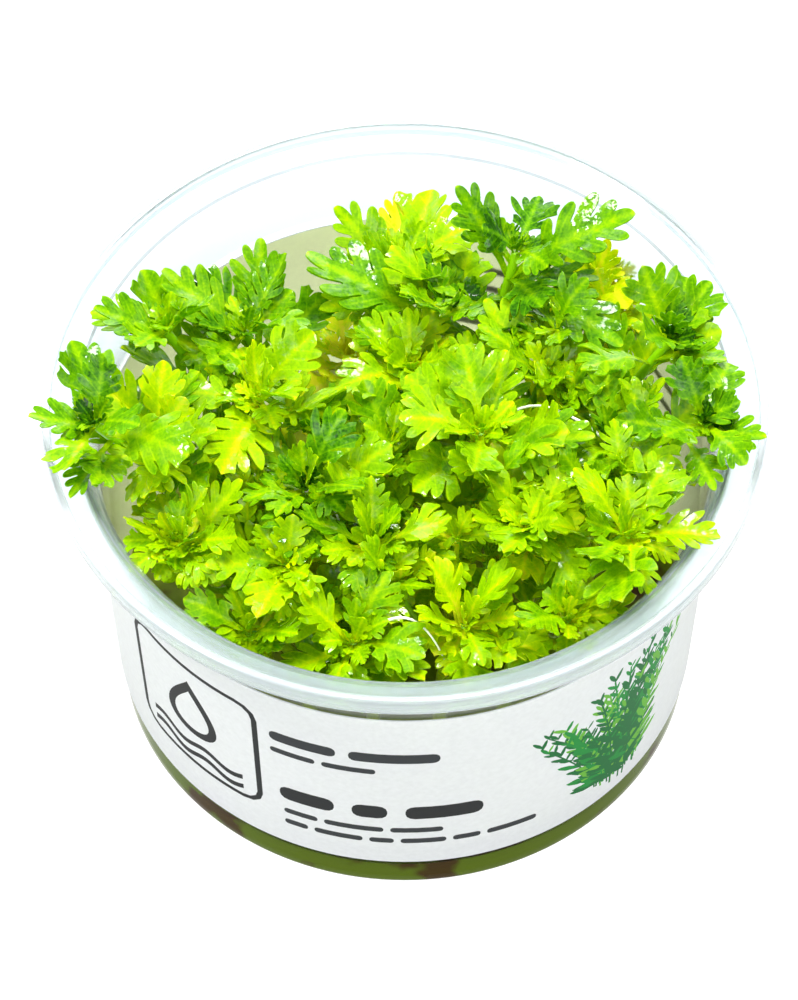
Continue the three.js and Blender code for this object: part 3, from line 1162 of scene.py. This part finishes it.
    def side_shoots(
        self, forms: "LeafForms", material: bpy.types.Material, rng: random.Random
    ) -> tuple[list[LeafCopy], list[bpy.types.Object]]:
        """Lists the leaves of the side shoots, which lean between the crowns, and models their stalks.

        Args:
            forms: The leaf forms to choose from.
            material: The stalks' material.
            rng: The source of their small differences.

        Returns:
            The leaves, and the stalks' mesh objects.
        """
        leaves, stalks = [], []
        for k in range(self.side_shoot_count):
            start = self.along(rng.uniform(0.55, 0.75))
            around = math.radians(125) * (self.number + 1.5 * k) + rng.uniform(-0.6, 0.6)
            reach = rng.uniform(*self.side_shoot_reach) * MM
            out = direction(around, 0.0) * reach
            climb = self.crown().z - start.z - rng.uniform(-2, 5) * MM
            end = self._inside_cup(start + out * 0.85 + UP * climb)
            stalks.append(tube((start, start + out * 0.6, end), 0.5 * MM, (1.0, 0.8), material))
            lean = UP.rotation_difference((UP + 0.8 * out.normalized()).normalized())
            for i in range(self.side_leaf_count):
                turn = GOLDEN_ANGLE * i + rng.uniform(-0.3, 0.3)
                rise = math.radians(rng.uniform(0, 40) + 4 * i)
                way = lean @ direction(turn, rise)
                size = rng.uniform(0.8, 1.1) * (9.0 - 0.75 * i) * MM
                form = forms.broad(rng) if i < self.side_broad_count else forms.young(rng)
                leaf = self._leaf(form, way * size, rng, 0.05)
                leaf.base, leaf.tip = end + way * 0.3 * MM, self._inside_cup(end + way * size)
                leaves.append(leaf)
        return leaves, stalks

    def _inside_cup(self, point: Vector) -> Vector:
        """Draws a leaf's tip in from the cup's wall.

        Args:
            point: Where the tip would be.

        Returns:
            The point, or one a little higher that is clear of the wall.
        """
        below = point.z < self.wall_top * MM
        limit = (self.room + self.room_taper * point.z / MM) * MM if below else self.room_above * MM
        away = math.hypot(point.x, point.y)
        if away <= limit:
            return point
        return Vector((point.x * limit / away, point.y * limit / away, point.z + 0.3 * (away - limit)))

    def _leaf(self, form: LeafForm, span: Vector, rng: random.Random, paler: float) -> LeafCopy:
        """Makes one leaf of the crown.

        Args:
            form: The leaf's form.
            span: From the crown to the leaf's tip.
            rng: The source of its small differences.
            paler: What it adds to the plant's tone.

        Returns:
            The leaf.
        """
        base = self.crown() + span.normalized() * 0.6 * MM
        return LeafCopy(
            form=form,
            base=base,
            tip=self.crown() + span,
            width=span.length * rng.uniform(0.78, 1.1),
            bend=self.leaf_bend * rng.uniform(-0.2, 1.4),
            fold=rng.uniform(-0.1, 0.5),
            twist=rng.uniform(-0.8, 0.8),
            tone=self.tone + paler + rng.uniform(-0.14, 0.14),
            wave=rng.uniform(0.015, 0.05),
            phase=rng.uniform(0, 6.3),
        )

    def large_leaves(self, forms: "LeafForms", rng: random.Random) -> list[LeafCopy]:
        """Lists the large leaves of this plant.

        Args:
            forms: The leaf forms to choose from.
            rng: The source of each leaf's small differences.

        Returns:
            The leaves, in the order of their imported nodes.
        """
        foot = self.leaf_foot()
        leaves = []
        for tip in self.tips:
            end = Vector(tip) * MM
            leaves.append(
                LeafCopy(
                    form=forms.long(rng),
                    base=foot,
                    tip=end,
                    width=(end - foot).length * rng.uniform(0.85, 1.05),
                    bend=0.6,
                    fold=rng.uniform(0.1, 0.35),
                    twist=rng.uniform(-0.4, 0.4),
                    tone=self.tone + rng.uniform(-0.06, 0.1),
                    wave=0.014,
                    phase=rng.uniform(0, 6.3),
                )
            )
        return leaves


@dataclass
class LeafForms:
    """The few leaf shapes that every plant's leaves are copied from."""

    long_forms: list[LeafForm] = field(default_factory=list)
    broad_forms: list[LeafForm] = field(default_factory=list)
    young_forms: list[LeafForm] = field(default_factory=list)

    def build(self) -> "LeafForms":
        """Models every form, with a few seeds for each outline.

        Returns:
            The set of forms itself.
        """
        for seed in (3, 5, 8):
            self.long_forms.append(
                LeafForm(
                    spine=(0.0, 0.18, 0.34, 0.43, 0.46, 0.57, 0.6, 0.71, 0.735, 0.83),
                    widths=(0.035, 0.03, 0.04, 0.075, 0.07, 0.1, 0.09, 0.09, 0.07, 0.06),
                    first_lobe=2,
                    lobes=((0.13, 64), (0.2, 54), (0.21, 44), (0.16, 32)),
                    steps=((0.4, 1.0), (0.36, 0.95), (0.24, 0.42)),
                    toothed=0.0,
                    seed=seed,
                ).build()
            )
        for seed in (1, 2, 3, 4):
            self.broad_forms.append(
                LeafForm(
                    spine=(0.0, 0.2, 0.38, 0.51, 0.54, 0.68, 0.71, 0.83),
                    widths=(0.045, 0.04, 0.05, 0.11, 0.11, 0.14, 0.13, 0.1),
                    first_lobe=2,
                    lobes=((0.22, 60), (0.3, 44), (0.22, 30)),
                    seed=seed,
                ).build()
            )
        for seed in (5, 6, 7):
            self.broad_forms.append(
                LeafForm(
                    spine=(0.0, 0.16, 0.3, 0.4, 0.43, 0.54, 0.57, 0.68, 0.71, 0.82),
                    widths=(0.045, 0.04, 0.045, 0.085, 0.08, 0.11, 0.1, 0.1, 0.09, 0.075),
                    first_lobe=2,
                    lobes=((0.17, 64), (0.25, 54), (0.26, 44), (0.18, 34)),
                    seed=seed,
                ).build()
            )
        for seed in (8, 9, 10):
            self.broad_forms.append(
                LeafForm(
                    spine=(0.0, 0.2, 0.38, 0.53, 0.56, 0.7, 0.73, 0.84),
                    widths=(0.045, 0.045, 0.07, 0.14, 0.14, 0.18, 0.16, 0.12),
                    first_lobe=2,
                    lobes=((0.16, 66), (0.2, 50), (0.16, 32)),
                    seed=seed,
                ).build()
            )
        for seed in (1, 2, 3, 4):
            self.young_forms.append(
                LeafForm(
                    spine=(0.0, 0.3, 0.48, 0.56, 0.74),
                    widths=(0.08, 0.1, 0.17, 0.13, 0.15),
                    first_lobe=1,
                    lobes=((0.26, 52), (0.28, 30)),
                    steps=((0.6, 0.95), (0.4, 0.4)),
                    tooth=0.0,
                    rounds=0,
                    seed=seed,
                ).build()
            )
        return self

    def long(self, rng: random.Random) -> LeafForm:
        """One of the long forms."""
        return rng.choice(self.long_forms)

    def broad(self, rng: random.Random) -> LeafForm:
        """One of the broad forms."""
        return rng.choice(self.broad_forms)

    def young(self, rng: random.Random) -> LeafForm:
        """One of the young forms."""
        return rng.choice(self.young_forms)


@dataclass
class Plants:
    """All the young plants in the cup."""

    # The tone of each large leaf that has turned yellow, by its number
    yellow_leaves: dict[int, float] = field(default_factory=lambda: {6: 0.95, 13: 0.9})
    # Number, crown, size, large leaves' tips, tone, and where they differ heart, side shoots, inner reach
    shoots: tuple[Shoot, ...] = (
        Shoot(
            1,
            (15.5, 23.5, 62),
            0.8,
            ((7, 29, 70), (32, 24, 70), (27, 20, 60), (30, 9, 59)),
            0.18,
            0.1,
            0,
            0.45,
        ),
        Shoot(2, (0, 28, 53), 0.95, ((-10, 34, 59), (-1, 40, 55)), 0.42),
        Shoot(3, (28, 28, 49), 0.9, (), 0.75),
        Shoot(4, (-33, 12, 59), 0.9, ((-43, 12, 64),), 0.3, 0.1, 0, 0.45),
        Shoot(5, (-42, -7, 63), 0.85, ((-51, -8, 66), (-45, -18, 61)), 0.3, -0.3, 0, 0.45),
        Shoot(6, (-22, 14, 56), 1.0, ((-34, 20, 62), (-20, 26, 62)), 0.26, 0.1, 0),
        Shoot(7, (-20, 0.5, 58), 1.0, ((-8, -3, 60),), 0.52, 0.1, 0),
        Shoot(8, (-8, 20, 42), 0.9, ((-16, 14, 49),), 0.85, 0.1, 0),
        Shoot(9, (6, 18, 56), 0.9, ((-14, 25, 59),), 0.3, -0.3, 0),
        Shoot(10, (19.5, 6.5, 56), 0.95, ((11, 16, 61), (30, 1, 60)), 0.4),
        Shoot(11, (36.5, 9.5, 60), 0.95, ((44, 3, 64),), 0.3, -0.3),
        Shoot(12, (40.5, -6, 62), 0.85, ((49, -10, 64), (42, -16, 60)), 0.3, -0.3, 0, 0.45),
        Shoot(13, (1, 9, 54), 0.95, (), 0.55, 0.1, 0),
        Shoot(14, (-34, -6, 57), 0.95, ((-36, -17, 58),), 0.6),
        Shoot(15, (-13.5, -13, 56), 1.0, (), 0.3, -0.3),
        Shoot(16, (-1, -4.5, 52), 0.95, (), 0.45),
        Shoot(17, (10.5, -5.5, 59), 1.0, ((26, -8, 61), (14, 5, 64)), 0.42),
        Shoot(18, (28, -5.5, 56), 0.95, ((36, 2, 61),), 0.4, -0.35),
        Shoot(19, (-31, -20.5, 54), 0.95, ((-22, -14, 60),), 0.48),
        Shoot(20, (-16, -24, 54), 0.95, ((-27, -27, 58),), 0.5),
        Shoot(21, (-4.5, -21.5, 55), 0.95, (), 0.42),
        Shoot(22, (18.5, -18, 55), 1.0, ((9, -21, 60),), 0.56),
        Shoot(23, (30, -22, 58), 1.0, (), 0.5),
        Shoot(24, (-21, -32, 49), 0.85, (), 0.4),
        Shoot(25, (-7, -34, 50), 0.9, ((-3, -25, 57),), 0.45),
        Shoot(26, (8, -32, 51), 0.95, ((16, -27, 57),), 0.58),
        Shoot(27, (22, -31, 51), 0.9, (), 0.5),
    )

    def build(self) -> None:
        """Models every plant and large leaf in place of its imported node."""
        forms = LeafForms().build()
        leaf_material = LeafTissue().material()
        stem_material = StemTissue().material()
        large = 0
        for shoot in self.shoots:
            rng = random.Random(100 + shoot.number)
            foliage = shoot.crown_leaves(forms, rng) + shoot.stem_leaves(forms, rng)
            side_leaves, stalks = shoot.side_shoots(forms, stem_material, rng)
            leaves = joined_leaves("crown", foliage + side_leaves, leaf_material)
            select_only(leaves, shoot.stem(stem_material), *stalks)
            bpy.ops.object.join()
            dress(leaves, f"plant_{shoot.number:02d}", stands_for=[shoot.node])
            for leaf in shoot.large_leaves(forms, rng):
                large += 1
                leaf.tone = self.yellow_leaves.get(large, leaf.tone)
                slot = "leaf_yellow" if large in self.yellow_leaves else "leaf_green"
                obj = joined_leaves("leaf", [leaf], leaf_material)
                dress(obj, f"large_leaf_{large:02d}", stands_for=[f"leaf_{large:02d}"])


@dataclass
class FineRoots:
    """The few white roots that hang in the air between the crowns, each a thread from a stem's end."""

    radius: float = 0.2
    # Each thread's start, the control point of its curve, and its end
    paths: tuple[tuple[tuple[float, float, float], ...], ...] = (
        ((-34.0, -5.5, 57.0), (-33.0, -0.5, 59.5), (-30.5, -4.5, 51.0)),
        ((-34.0, -5.5, 57.0), (-30.5, 1.0, 60.0), (-28.0, -3.5, 50.0)),
        ((11.5, -5.0, 59.0), (18.0, 3.0, 60.0), (25.5, -2.5, 55.0)),
        ((28.0, -5.5, 56.5), (21.5, -0.5, 60.5), (16.5, 1.0, 54.0)),
        ((-3.0, -33.0, 53.5), (2.0, -32.0, 57.0), (5.5, -37.5, 50.5)),
        ((-13.5, -13.0, 56.0), (-9.0, -15.0, 60.0), (-8.0, -20.0, 50.0)),
    )

    def build(self) -> bpy.types.Object:
        """Models the roots.

        Returns:
            The roots, as one piece.
        """
        finish = StemTissue(name="white_root_tissue", low="#f2f3cc", high="#f2f5d8").material()
        threads = []
        for path in self.paths:
            curve = tuple(Vector(point) * MM for point in path)
            threads.append(tube(curve, self.radius * MM, (1.2, 0.6), finish))
        select_only(*threads)
        bpy.ops.object.join()
        return dress(threads[0], "fine_roots")


# The cup, its label and the gel


@dataclass
class Cup:
    """The clear cup: a tapered wall that flares to a sloping rim with a lip that hangs down outside."""

    rim_radius: float = 50.0
    height: float = 59.5
    base_radius: float = 41.0
    taper: float = 0.05
    wall: float = 0.9
    # Where each finish starts and ends, by height and by distance from the axis
    foot_to: float = 4.0
    gel_to: float = 11.0
    flange_from: float = 46.0
    # The band of painted shade at the bend inside the rim: its lowest and highest height, and how far it
    # reaches from the axis
    shoulder: tuple[float, float] = (57.15, 57.45)
    shoulder_radius: float = 45.5
    lip_radius: float = 49.2
    steps: int = 160

    def outer(self, z: float) -> float:
        """The wall's outer radius at a height, all in millimetres."""
        return self.base_radius + self.taper * z

    def profile(self) -> list[tuple[float, float]]:
        """Draws the profile from the middle of the underside, round the lip and back to the middle.

        Returns:
            Radius and height of each point, in millimetres.
        """
        outer, wall, rim, top = self.outer, self.wall, self.rim_radius, self.height
        return [
            # The underside, raised inside the foot ring
            (0.0, 0.4),
            (37.7, 0.4),
            (38.0, 0.3),
            (38.2, 0.08),
            (38.5, 0.0),
            (40.55, 0.0),
            (40.85, 0.12),
            # The outside of the wall, up to the soft step under the rim
            (outer(0.6), 0.55),
            (outer(2), 2.0),
            (outer(5.2), 5.2),
            (outer(10.5), 10.5),
            (outer(16), 16.0),
            (outer(32), 32.0),
            (outer(47.4), 47.4),
            (outer(48) + 0.08, 49.0),
            (outer(48) + 0.35, 51.2),
            (outer(48) + 0.9, 53.4),
            (outer(48) + 1.7, 55.4),
            # The underside of the sloping rim, round the lip, and back over the rim
            (45.6, 56.35),
            (46.5, 57.0),
            (48.9, 58.1),
            (49.1, 57.9),
            (49.1, 57.0),
            (49.25, 56.8),
            (49.8, 56.8),
            (rim, 57.0),
            (rim, 58.9),
            (49.9, 59.3),
            (49.65, top),
            (48.95, top),
            (48.6, 59.25),
            (45.4, 57.45),
            (45.05, 57.15),
            (44.7, 56.75),
            # The inside of the wall and the floor
            (outer(48) + 1.0 - wall, 54.6),
            (outer(48) + 0.45 - wall, 52.0),
            (outer(48) + 0.1 - wall, 49.6),
            (outer(47.4) - wall, 47.4),
            (outer(32) - wall, 32.0),
            (outer(16) - wall, 16.0),
            (outer(10.5) - wall, 10.5),
            (outer(5.2) - wall, 5.2),
            (outer(2.2) - wall - 0.12, 2.1),
            (outer(2.2) - wall - 0.55, 1.4),
            (outer(2.2) - wall - 1.2, 1.06),
            (38.4, 1.0),
            (0.0, 1.0),
        ]

    def finishes(self) -> list[bpy.types.Material]:
        """Makes the finishes of the plastic.

        Returns:
            The foot's, the gel-backed wall's, the clear wall's, the rim's, the shoulder's, a grey band of
            painted shade that draws the dark line at the bend inside the rim, and the lip's.
        """
        foot = ClearPolypropylene(
            name="gel_green_polypropylene_foot",
            colour="#536612",
            see_through=0.3,
            ior=1.07,
            patches="#40300f",
        )
        wet = ClearPolypropylene(name="gel_backed_polypropylene", colour="#ccd484", ior=1.08)
        rim = ClearPolypropylene(
            name="hazy_thick_polypropylene",
            colour="#dfebef",
            roughness=0.16,
            see_through=0.86,
        )
        # The shoulder's grey, half see-through finish is painted shade: the dark line that the sharp bend
        # inside the rim shows, not a colour of the plastic
        bend = ClearPolypropylene(
            name="polypropylene_shoulder_painted_shade_line",
            colour="#a4acb0",
            roughness=0.1,
            see_through=0.5,
        )
        lip = ClearPolypropylene(
            name="frosted_polypropylene_lip",
            colour="#d6dde0",
            roughness=0.2,
            see_through=0.68,
        )
        return [finish.material() for finish in (foot, wet, ClearPolypropylene(), rim, bend, lip)]

    def build(self) -> bpy.types.Object:
        """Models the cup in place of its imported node.

        Returns:
            The cup.
        """
        obj = spun_profile("clear_cup", self.profile(), self.steps)
        bpy.ops.object.shade_smooth_by_angle(angle=SMOOTH_ANGLE)
        limits = (self.foot_to, self.gel_to, self.flange_from)
        low, high = (z * MM for z in self.shoulder)
        for polygon in obj.data.polygons:
            centre = polygon.center
            away = centre.to_2d().length
            # The first four finishes follow each other up the wall
            polygon.material_index = sum(centre.z > limit * MM for limit in limits)
            # The band at the shoulder takes the painted shade of the bend's dark line
            if low < centre.z < high and away < self.shoulder_radius * MM:
                polygon.material_index = len(limits) + 1
            if away > self.lip_radius * MM:
                polygon.material_index = len(limits) + 2
        return dress(obj, "clear_cup", self.finishes(), ["cup"])


@dataclass
class GelBed:
    """The disc of nutrient gel, drawn up a little where it meets the wall."""

    cup: Cup
    top: float = 9.5
    meniscus: float = 0.8
    wetting: float = 0.02
    floor: float = 0.99

    def side(self, z: float) -> float:
        """The gel's radius where it wets the wall at a height, all in millimetres."""
        return self.cup.outer(z) - self.cup.wall + self.wetting

    def build(self) -> bpy.types.Object:
        """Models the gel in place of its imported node.

        Returns:
            The disc of gel.
        """
        side = self.side
        profile = [
            (0.0, self.floor),
            (38.42, self.floor),
            (side(2.2) - 1.2, 1.05),
            (side(2.2) - 0.55, 1.38),
            (side(2.2) - 0.12, 2.09),
            (side(3), 2.9),
            (side(7), 7.0),
            (side(10.3), self.top + self.meniscus),
            (side(10) - 0.35, self.top + 0.45),
            (side(10) - 1.0, self.top + 0.1),
            (side(10) - 2.2, self.top),
            (20.0, self.top),
            (0.0, self.top),
        ]
        obj = spun_profile("nutrient_gel", profile, 120)
        bpy.ops.object.shade_smooth_by_angle(angle=math.radians(40))
        return dress(obj, "nutrient_gel_bed", [AgarGel().material()], ["agar_gel"])


# The label's print, in millimetres along the paper, from the middle of its front, and above its lower edge

Outline = list[tuple[float, float]]


def bar(left: float, low: float, width: float, height: float, corner: float) -> Outline:
    """A bar with round corners.

    Args:
        left: Its left end.
        low: Its lower side.
        width: Its width.
        height: Its height.
        corner: The corners' radius.

    Returns:
        Its outline, counter-clockwise.
    """
    points = []
    right, top = width - corner, height - corner
    for x, y, start in ((right, corner, -90), (right, top, 0), (corner, top, 90), (corner, corner, 180)):
        for step in range(4):
            turn = math.radians(start + 30 * step)
            points.append((left + x + corner * math.cos(turn), low + y + corner * math.sin(turn)))
    return points


def ellipse(x: float, y: float, long: float, short: float, turn: float, sides: int = 16) -> Outline:
    """A pointed oval, such as a leaf seen flat.

    Args:
        x: Its middle along the paper.
        y: Its middle above the lower edge.
        long: Half its length.
        short: Half its width.
        turn: Its angle in degrees.
        sides: How many sides it has.

    Returns:
        Its outline, counter-clockwise.
    """
    tilt = math.radians(turn)
    points = []
    for i in range(sides):
        angle = 2 * math.pi * i / sides
        along, across = long * math.cos(angle), short * math.sin(angle) * abs(math.sin(angle)) ** 0.4
        east = x + along * math.cos(tilt) - across * math.sin(tilt)
        points.append((east, y + along * math.sin(tilt) + across * math.cos(tilt)))
    return points


@dataclass
class Label:
    """The paper band round the cup, with a plain print: an emblem, lines for words and a water plant."""

    cup: Cup
    low: float = 6.4
    high: float = 45.4
    gap: float = 0.12
    paper: float = 0.2
    slit: float = 1.6
    # The angle between the folds that let the flat paper follow the cup, in degrees
    facet: float = 2.5
    # The emblem's frame: its left end, lower side, width and height
    emblem: tuple[float, float, float, float] = (-44.6, 7.4, 23.8, 26.6)
    frond_count: int = 20
    frond_joints: int = 13
    frond_half_width: float = 0.16
    leaflet_reach: float = 2.5

    def radius(self, z: float) -> float:
        """The radius of the paper's outer face at a height."""
        return self.cup.outer(z) + self.gap + self.paper

    def _emblem(self) -> list[tuple[Outline, Ink]]:
        """Draws a water drop over two waves in a frame with round corners.

        Returns:
            Each shape's outline and ink, the later ones on top.
        """
        left, low, wide, tall = self.emblem
        middle, waist = left + 0.5 * wide, low + 15.6
        drop = []
        for i in range(40):
            turn = 2 * math.pi * (i + 0.5) / 40
            across = math.sin(turn) * math.sin(turn / 2) ** 1.3
            drop.append((middle + 6.4 * across, waist + 7.0 * math.cos(turn)))
        shapes = [
            (bar(left, low, wide, tall, 3.4), Ink.CHARCOAL),
            (bar(left + 0.9, low + 0.9, wide - 1.8, tall - 1.8, 2.6), Ink.PAPER),
            (drop, Ink.CHARCOAL),
            ([(0.7 * x + 0.3 * middle, 0.7 * y + 0.3 * (waist - 2.0)) for x, y in drop], Ink.PAPER),
        ]
        for base in (3.0, 5.6):
            upper = []
            for share in (i / 24 for i in range(25)):
                swell = 0.7 * math.sin(4 * math.pi * share)
                upper.append((left + 3.0 + 17.6 * share, low + base + swell + 0.6))
            lower = [(x, y - 1.2) for x, y in reversed(upper)]
            shapes.append((upper + lower, Ink.CHARCOAL))
        return shapes

    def _words(self) -> list[tuple[Outline, Ink]]:
        """Draws rows of plain bars where a label has its words, on the front and at the back.

        Returns:
            Each bar's outline and ink.
        """
        # Each row's left end, lower side, height, ink and its bars' lengths
        rows = [
            (-19.0, 27.6, 2.4, Ink.GREY, (9.5, 12.5)),
            (-19.0, 24.4, 1.3, Ink.GREY, (6.5, 7.5)),
            (-18.0, 12.2, 3.4, Ink.CHARCOAL, (8.0, 5.0, 11.0)),
            (-17.5, 8.4, 1.3, Ink.GREY, (5.0, 8.5, 7.5)),
            (-17.5, 5.4, 1.3, Ink.GREY, (3.5, 7.0, 3.5, 6.5, 4.0, 7.5)),
        ]
        for line in range(6):
            lengths = (9.0, 14.0, 7.0, 11.0) if line % 2 else (12.0, 6.0, 13.0, 8.0)
            rows.append((84.0, 29.0 - 4.0 * line, 1.4, Ink.GREY, lengths[: 4 if line < 5 else 2]))
        shapes = []
        for left, low, height, ink, lengths in rows:
            for length in lengths:
                shapes.append((bar(left, low, length, height, 0.4 * height), ink))
                left += length + 0.75 * height
        return shapes

    def _fronds(self) -> list[tuple[Outline, Ink]]:
        """Draws a tuft of feathery fronds in three greens, bowed out from one foot.

        Returns:
            Each stalk's and leaflet's outline and ink, the later ones on top.
        """
        rng = random.Random(12)
        inks = (Ink.LEAF_DARK, Ink.LEAF_MID, Ink.LEAF_LIGHT)
        count, joints = self.frond_count, self.frond_joints
        shapes = []
        for k in range(count):
            # Steps of seven spread neighbours apart, so that the fronds overlap by turns
            lean = -1.0 + 1.75 * ((k * 7) % count) / (count - 1) + rng.uniform(-0.08, 0.08)
            tall = 30.0 - 8.0 * abs(lean - 0.4) + rng.uniform(-5, 3)
            foot = (34.5 + 5.0 * lean, 2.0 + 1.5 * abs(lean) + rng.uniform(0, 2))
            power = rng.uniform(1.3, 2.4)
            shares = [i / joints for i in range(joints + 1)]
            bow = [(foot[0] + 10.0 * lean * s**power, foot[1] + tall * s) for s in shares]
            right = [(x + self.frond_half_width, y) for x, y in bow]
            left = [(x - self.frond_half_width, y) for x, y in reversed(bow)]
            ink = inks[min(2, int(3 * rng.random() ** 1.3))]
            shapes.append((right + left, ink))
            for i, (x, y) in enumerate(bow[1:]):
                for side in (1, -1):
                    reach = self.leaflet_reach * (1 - 0.45 * i / joints) * rng.uniform(0.6, 1.15)
                    turn = 90 - side * (50 - 2 * i) - 18 * lean + rng.uniform(-14, 14)
                    px = x + 0.85 * reach * math.cos(math.radians(turn))
                    py = y + rng.uniform(-0.7, 0.7) + 0.85 * reach * math.sin(math.radians(turn))
                    leaflet = ellipse(px, py, reach, 0.25 * reach, turn, 8)
                    shapes.append((leaflet, ink if rng.random() < 0.7 else rng.choice(inks)))
        return shapes

    @staticmethod
    def _turning(outline: Outline) -> float:
        """Twice the area inside an outline, which is negative where it runs clockwise."""
        return sum(x0 * y1 - x1 * y0 for (x0, y0), (x1, y1) in zip(outline, outline[1:] + outline[:1]))

    def build(self) -> bpy.types.Object:
        """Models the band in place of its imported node: its print is cut into the flat paper, then rolled.

        Returns:
            The label.
        """
        middle = self.radius((self.low + self.high) / 2)
        half = math.pi * middle - self.slit / 2
        tall = self.high - self.low
        shapes = [([(-half, 0.0), (half, 0.0), (half, tall), (-half, tall)], Ink.PAPER)]
        shapes += self._emblem() + self._words() + self._fronds()
        points, edges, faces = [], [], []
        for outline, _ in shapes:
            outline = outline if self._turning(outline) > 0 else outline[::-1]
            faces.append(list(range(len(points), len(points) + len(outline))))
            points.extend(Vector(point) for point in outline)
        for i in range(1, int(360 / self.facet)):
            x = -half + 2 * half * i * self.facet / 360
            edges.append((len(points), len(points) + 1))
            points.extend([Vector((x, 0.0)), Vector((x, tall))])
        flat, _, cells, _, _, origins = delaunay_2d_cdt(points, edges, faces, 1, 1e-5)
        inks = list(Ink)
        rolled = []
        for x, y in flat:
            z, turn = self.low + y, x / middle
            radius = self.radius(z)
            rolled.append((radius * math.sin(turn) * MM, -radius * math.cos(turn) * MM, z * MM))
        mesh = bpy.data.meshes.new("paper_label")
        mesh.from_pydata(rolled, [], [tuple(cell) for cell in cells])
        shown = [inks.index(shapes[max(origin)][1]) for origin in origins]
        mesh.polygons.foreach_set("material_index", shown)
        obj = bpy.data.objects.new("paper_label", mesh)
        bpy.context.scene.collection.objects.link(obj)
        finish = CoatedPaper()
        for ink in inks:
            mesh.materials.append(finish.material(f"offset_print_{ink.name.lower()}", ink.value))
        # The glue side's pale yellow is painted light: the green-yellow light that the plants and the gel
        # throw on the paper's inside, not a colour of the glue
        mesh.materials.append(finish.material("label_glue_side_painted_plant_light", "#fafcc6", 0.95))
        apply_modifier(obj, "SOLIDIFY", thickness=self.paper * MM, offset=-1.0)
        for polygon in mesh.polygons:
            centre = polygon.center
            if polygon.normal.dot(Vector((centre.x, centre.y, 0.0))) < -0.5 * centre.to_2d().length:
                polygon.material_index = len(inks)
            polygon.use_smooth = True
        select_only(obj)
        bpy.ops.object.shade_smooth_by_angle(angle=math.radians(30))
        return dress(obj, "paper_label", stands_for=["label"])


# The studio


@dataclass
class Studio:
    """A white light table under soft light, seen by the camera that the photograph was taken with."""

    target: tuple[float, float, float] = (-0.8, 0.0, 35.7)
    distance: float = 737.6
    elevation: float = 54.46
    lens: float = 188.6
    walls: float = 1.2
    ceiling: float = 0.35
    aim: tuple[float, float, float] = (0.0, 0.0, 0.04)
    table_size: float = 6.0
    table_drop: float = 0.0002
    # Each light's name, place in metres, side in metres and power in watts
    lights: tuple[tuple[str, tuple[float, float, float], float, float], ...] = (
        ("overhead_softbox", (0.1, 0.3, 1.0), 0.33, 14.5),
        ("left_softbox", (-0.52, -0.1, 0.95), 0.2, 7.0),
        ("front_fill", (0.2, -0.9, 0.75), 0.8, 5.0),
        ("lit_backdrop", (0.0, 0.9, 0.3), 1.2, 10.0),
    )

    def camera(self) -> None:
        """Sets the camera."""
        rise = math.radians(self.elevation)
        back = Vector((0.0, -math.cos(rise), math.sin(rise)))
        data = bpy.data.cameras.new("camera")
        data.lens = self.lens
        data.sensor_width = 36.0
        data.clip_start = 0.01
        camera = bpy.data.objects.new("camera", data)
        camera.location = (Vector(self.target) + back * self.distance) * MM
        camera.rotation_euler = (math.pi / 2 - rise, 0.0, 0.0)
        bpy.context.scene.collection.objects.link(camera)
        bpy.context.scene.camera = camera

    def floor(self) -> None:
        """Lays the white table top."""
        start_fresh()
        bpy.ops.mesh.primitive_plane_add(size=self.table_size, location=(0.0, 0.0, -self.table_drop))
        table = bpy.context.object
        table.name = "table_top"
        material, tree, surface = new_material("lit_opal_acrylic")
        shader = add_node(
            tree,
            "ShaderNodeBsdfPrincipled",
            {
                "Base Color": linear("#959595"),
                "Roughness": 0.8,
                "Emission Color": linear("#ffffff"),
                "Emission Strength": 1.0,
            },
        )
        tree.links.new(shader.outputs["BSDF"], surface)
        table.data.materials.append(material)

    def light(self, name: str, place: tuple[float, float, float], size: float, watts: float) -> None:
        """Hangs one soft light that faces the cup.

        Args:
            name: Its name.
            place: Its place in metres.
            size: The side of its square.
            watts: Its power.
        """
        data = bpy.data.lights.new(name, "AREA")
        data.shape = "SQUARE"
        data.size = size
        data.energy = watts
        lamp = bpy.data.objects.new(name, data)
        lamp.location = place
        lamp.rotation_euler = (Vector(self.aim) - Vector(place)).to_track_quat("-Z", "Y").to_euler()
        bpy.context.scene.collection.objects.link(lamp)

    def build(self) -> None:
        """Sets the camera, the floor and the lights."""
        self.camera()
        self.floor()
        world = bpy.data.worlds.new("white_walls_and_dim_ceiling")
        world.use_nodes = True
        tree = world.node_tree
        where = add_node(tree, "ShaderNodeTexCoord").outputs["Generated"]
        split = add_node(tree, "ShaderNodeSeparateXYZ", links={"Vector": where})
        strength = add_node(
            tree,
            "ShaderNodeMapRange",
            {"From Min": 0.3, "From Max": 0.7, "To Min": self.walls, "To Max": self.ceiling},
            {"Value": split.outputs["Z"]},
        )
        tree.links.new(strength.outputs["Result"], tree.nodes["Background"].inputs["Strength"])
        tree.nodes["Background"].inputs["Color"].default_value = linear("#ffffff")
        bpy.context.scene.world = world
        for name, place, size, watts in self.lights:
            self.light(name, place, size, watts)
        bpy.context.scene.view_settings.view_transform = "Standard"
        bpy.context.scene.view_settings.look = "None"


def main() -> None:
    """Builds the whole scene in order."""
    logging.basicConfig(level=logging.INFO, format="%(name)s: %(message)s")
    Studio().build()
    cup = Cup()
    cup.build()
    GelBed(cup).build()
    Label(cup).build()
    Plants().build()
    FineRoots().build()


if __name__ == "__main__":
    main()
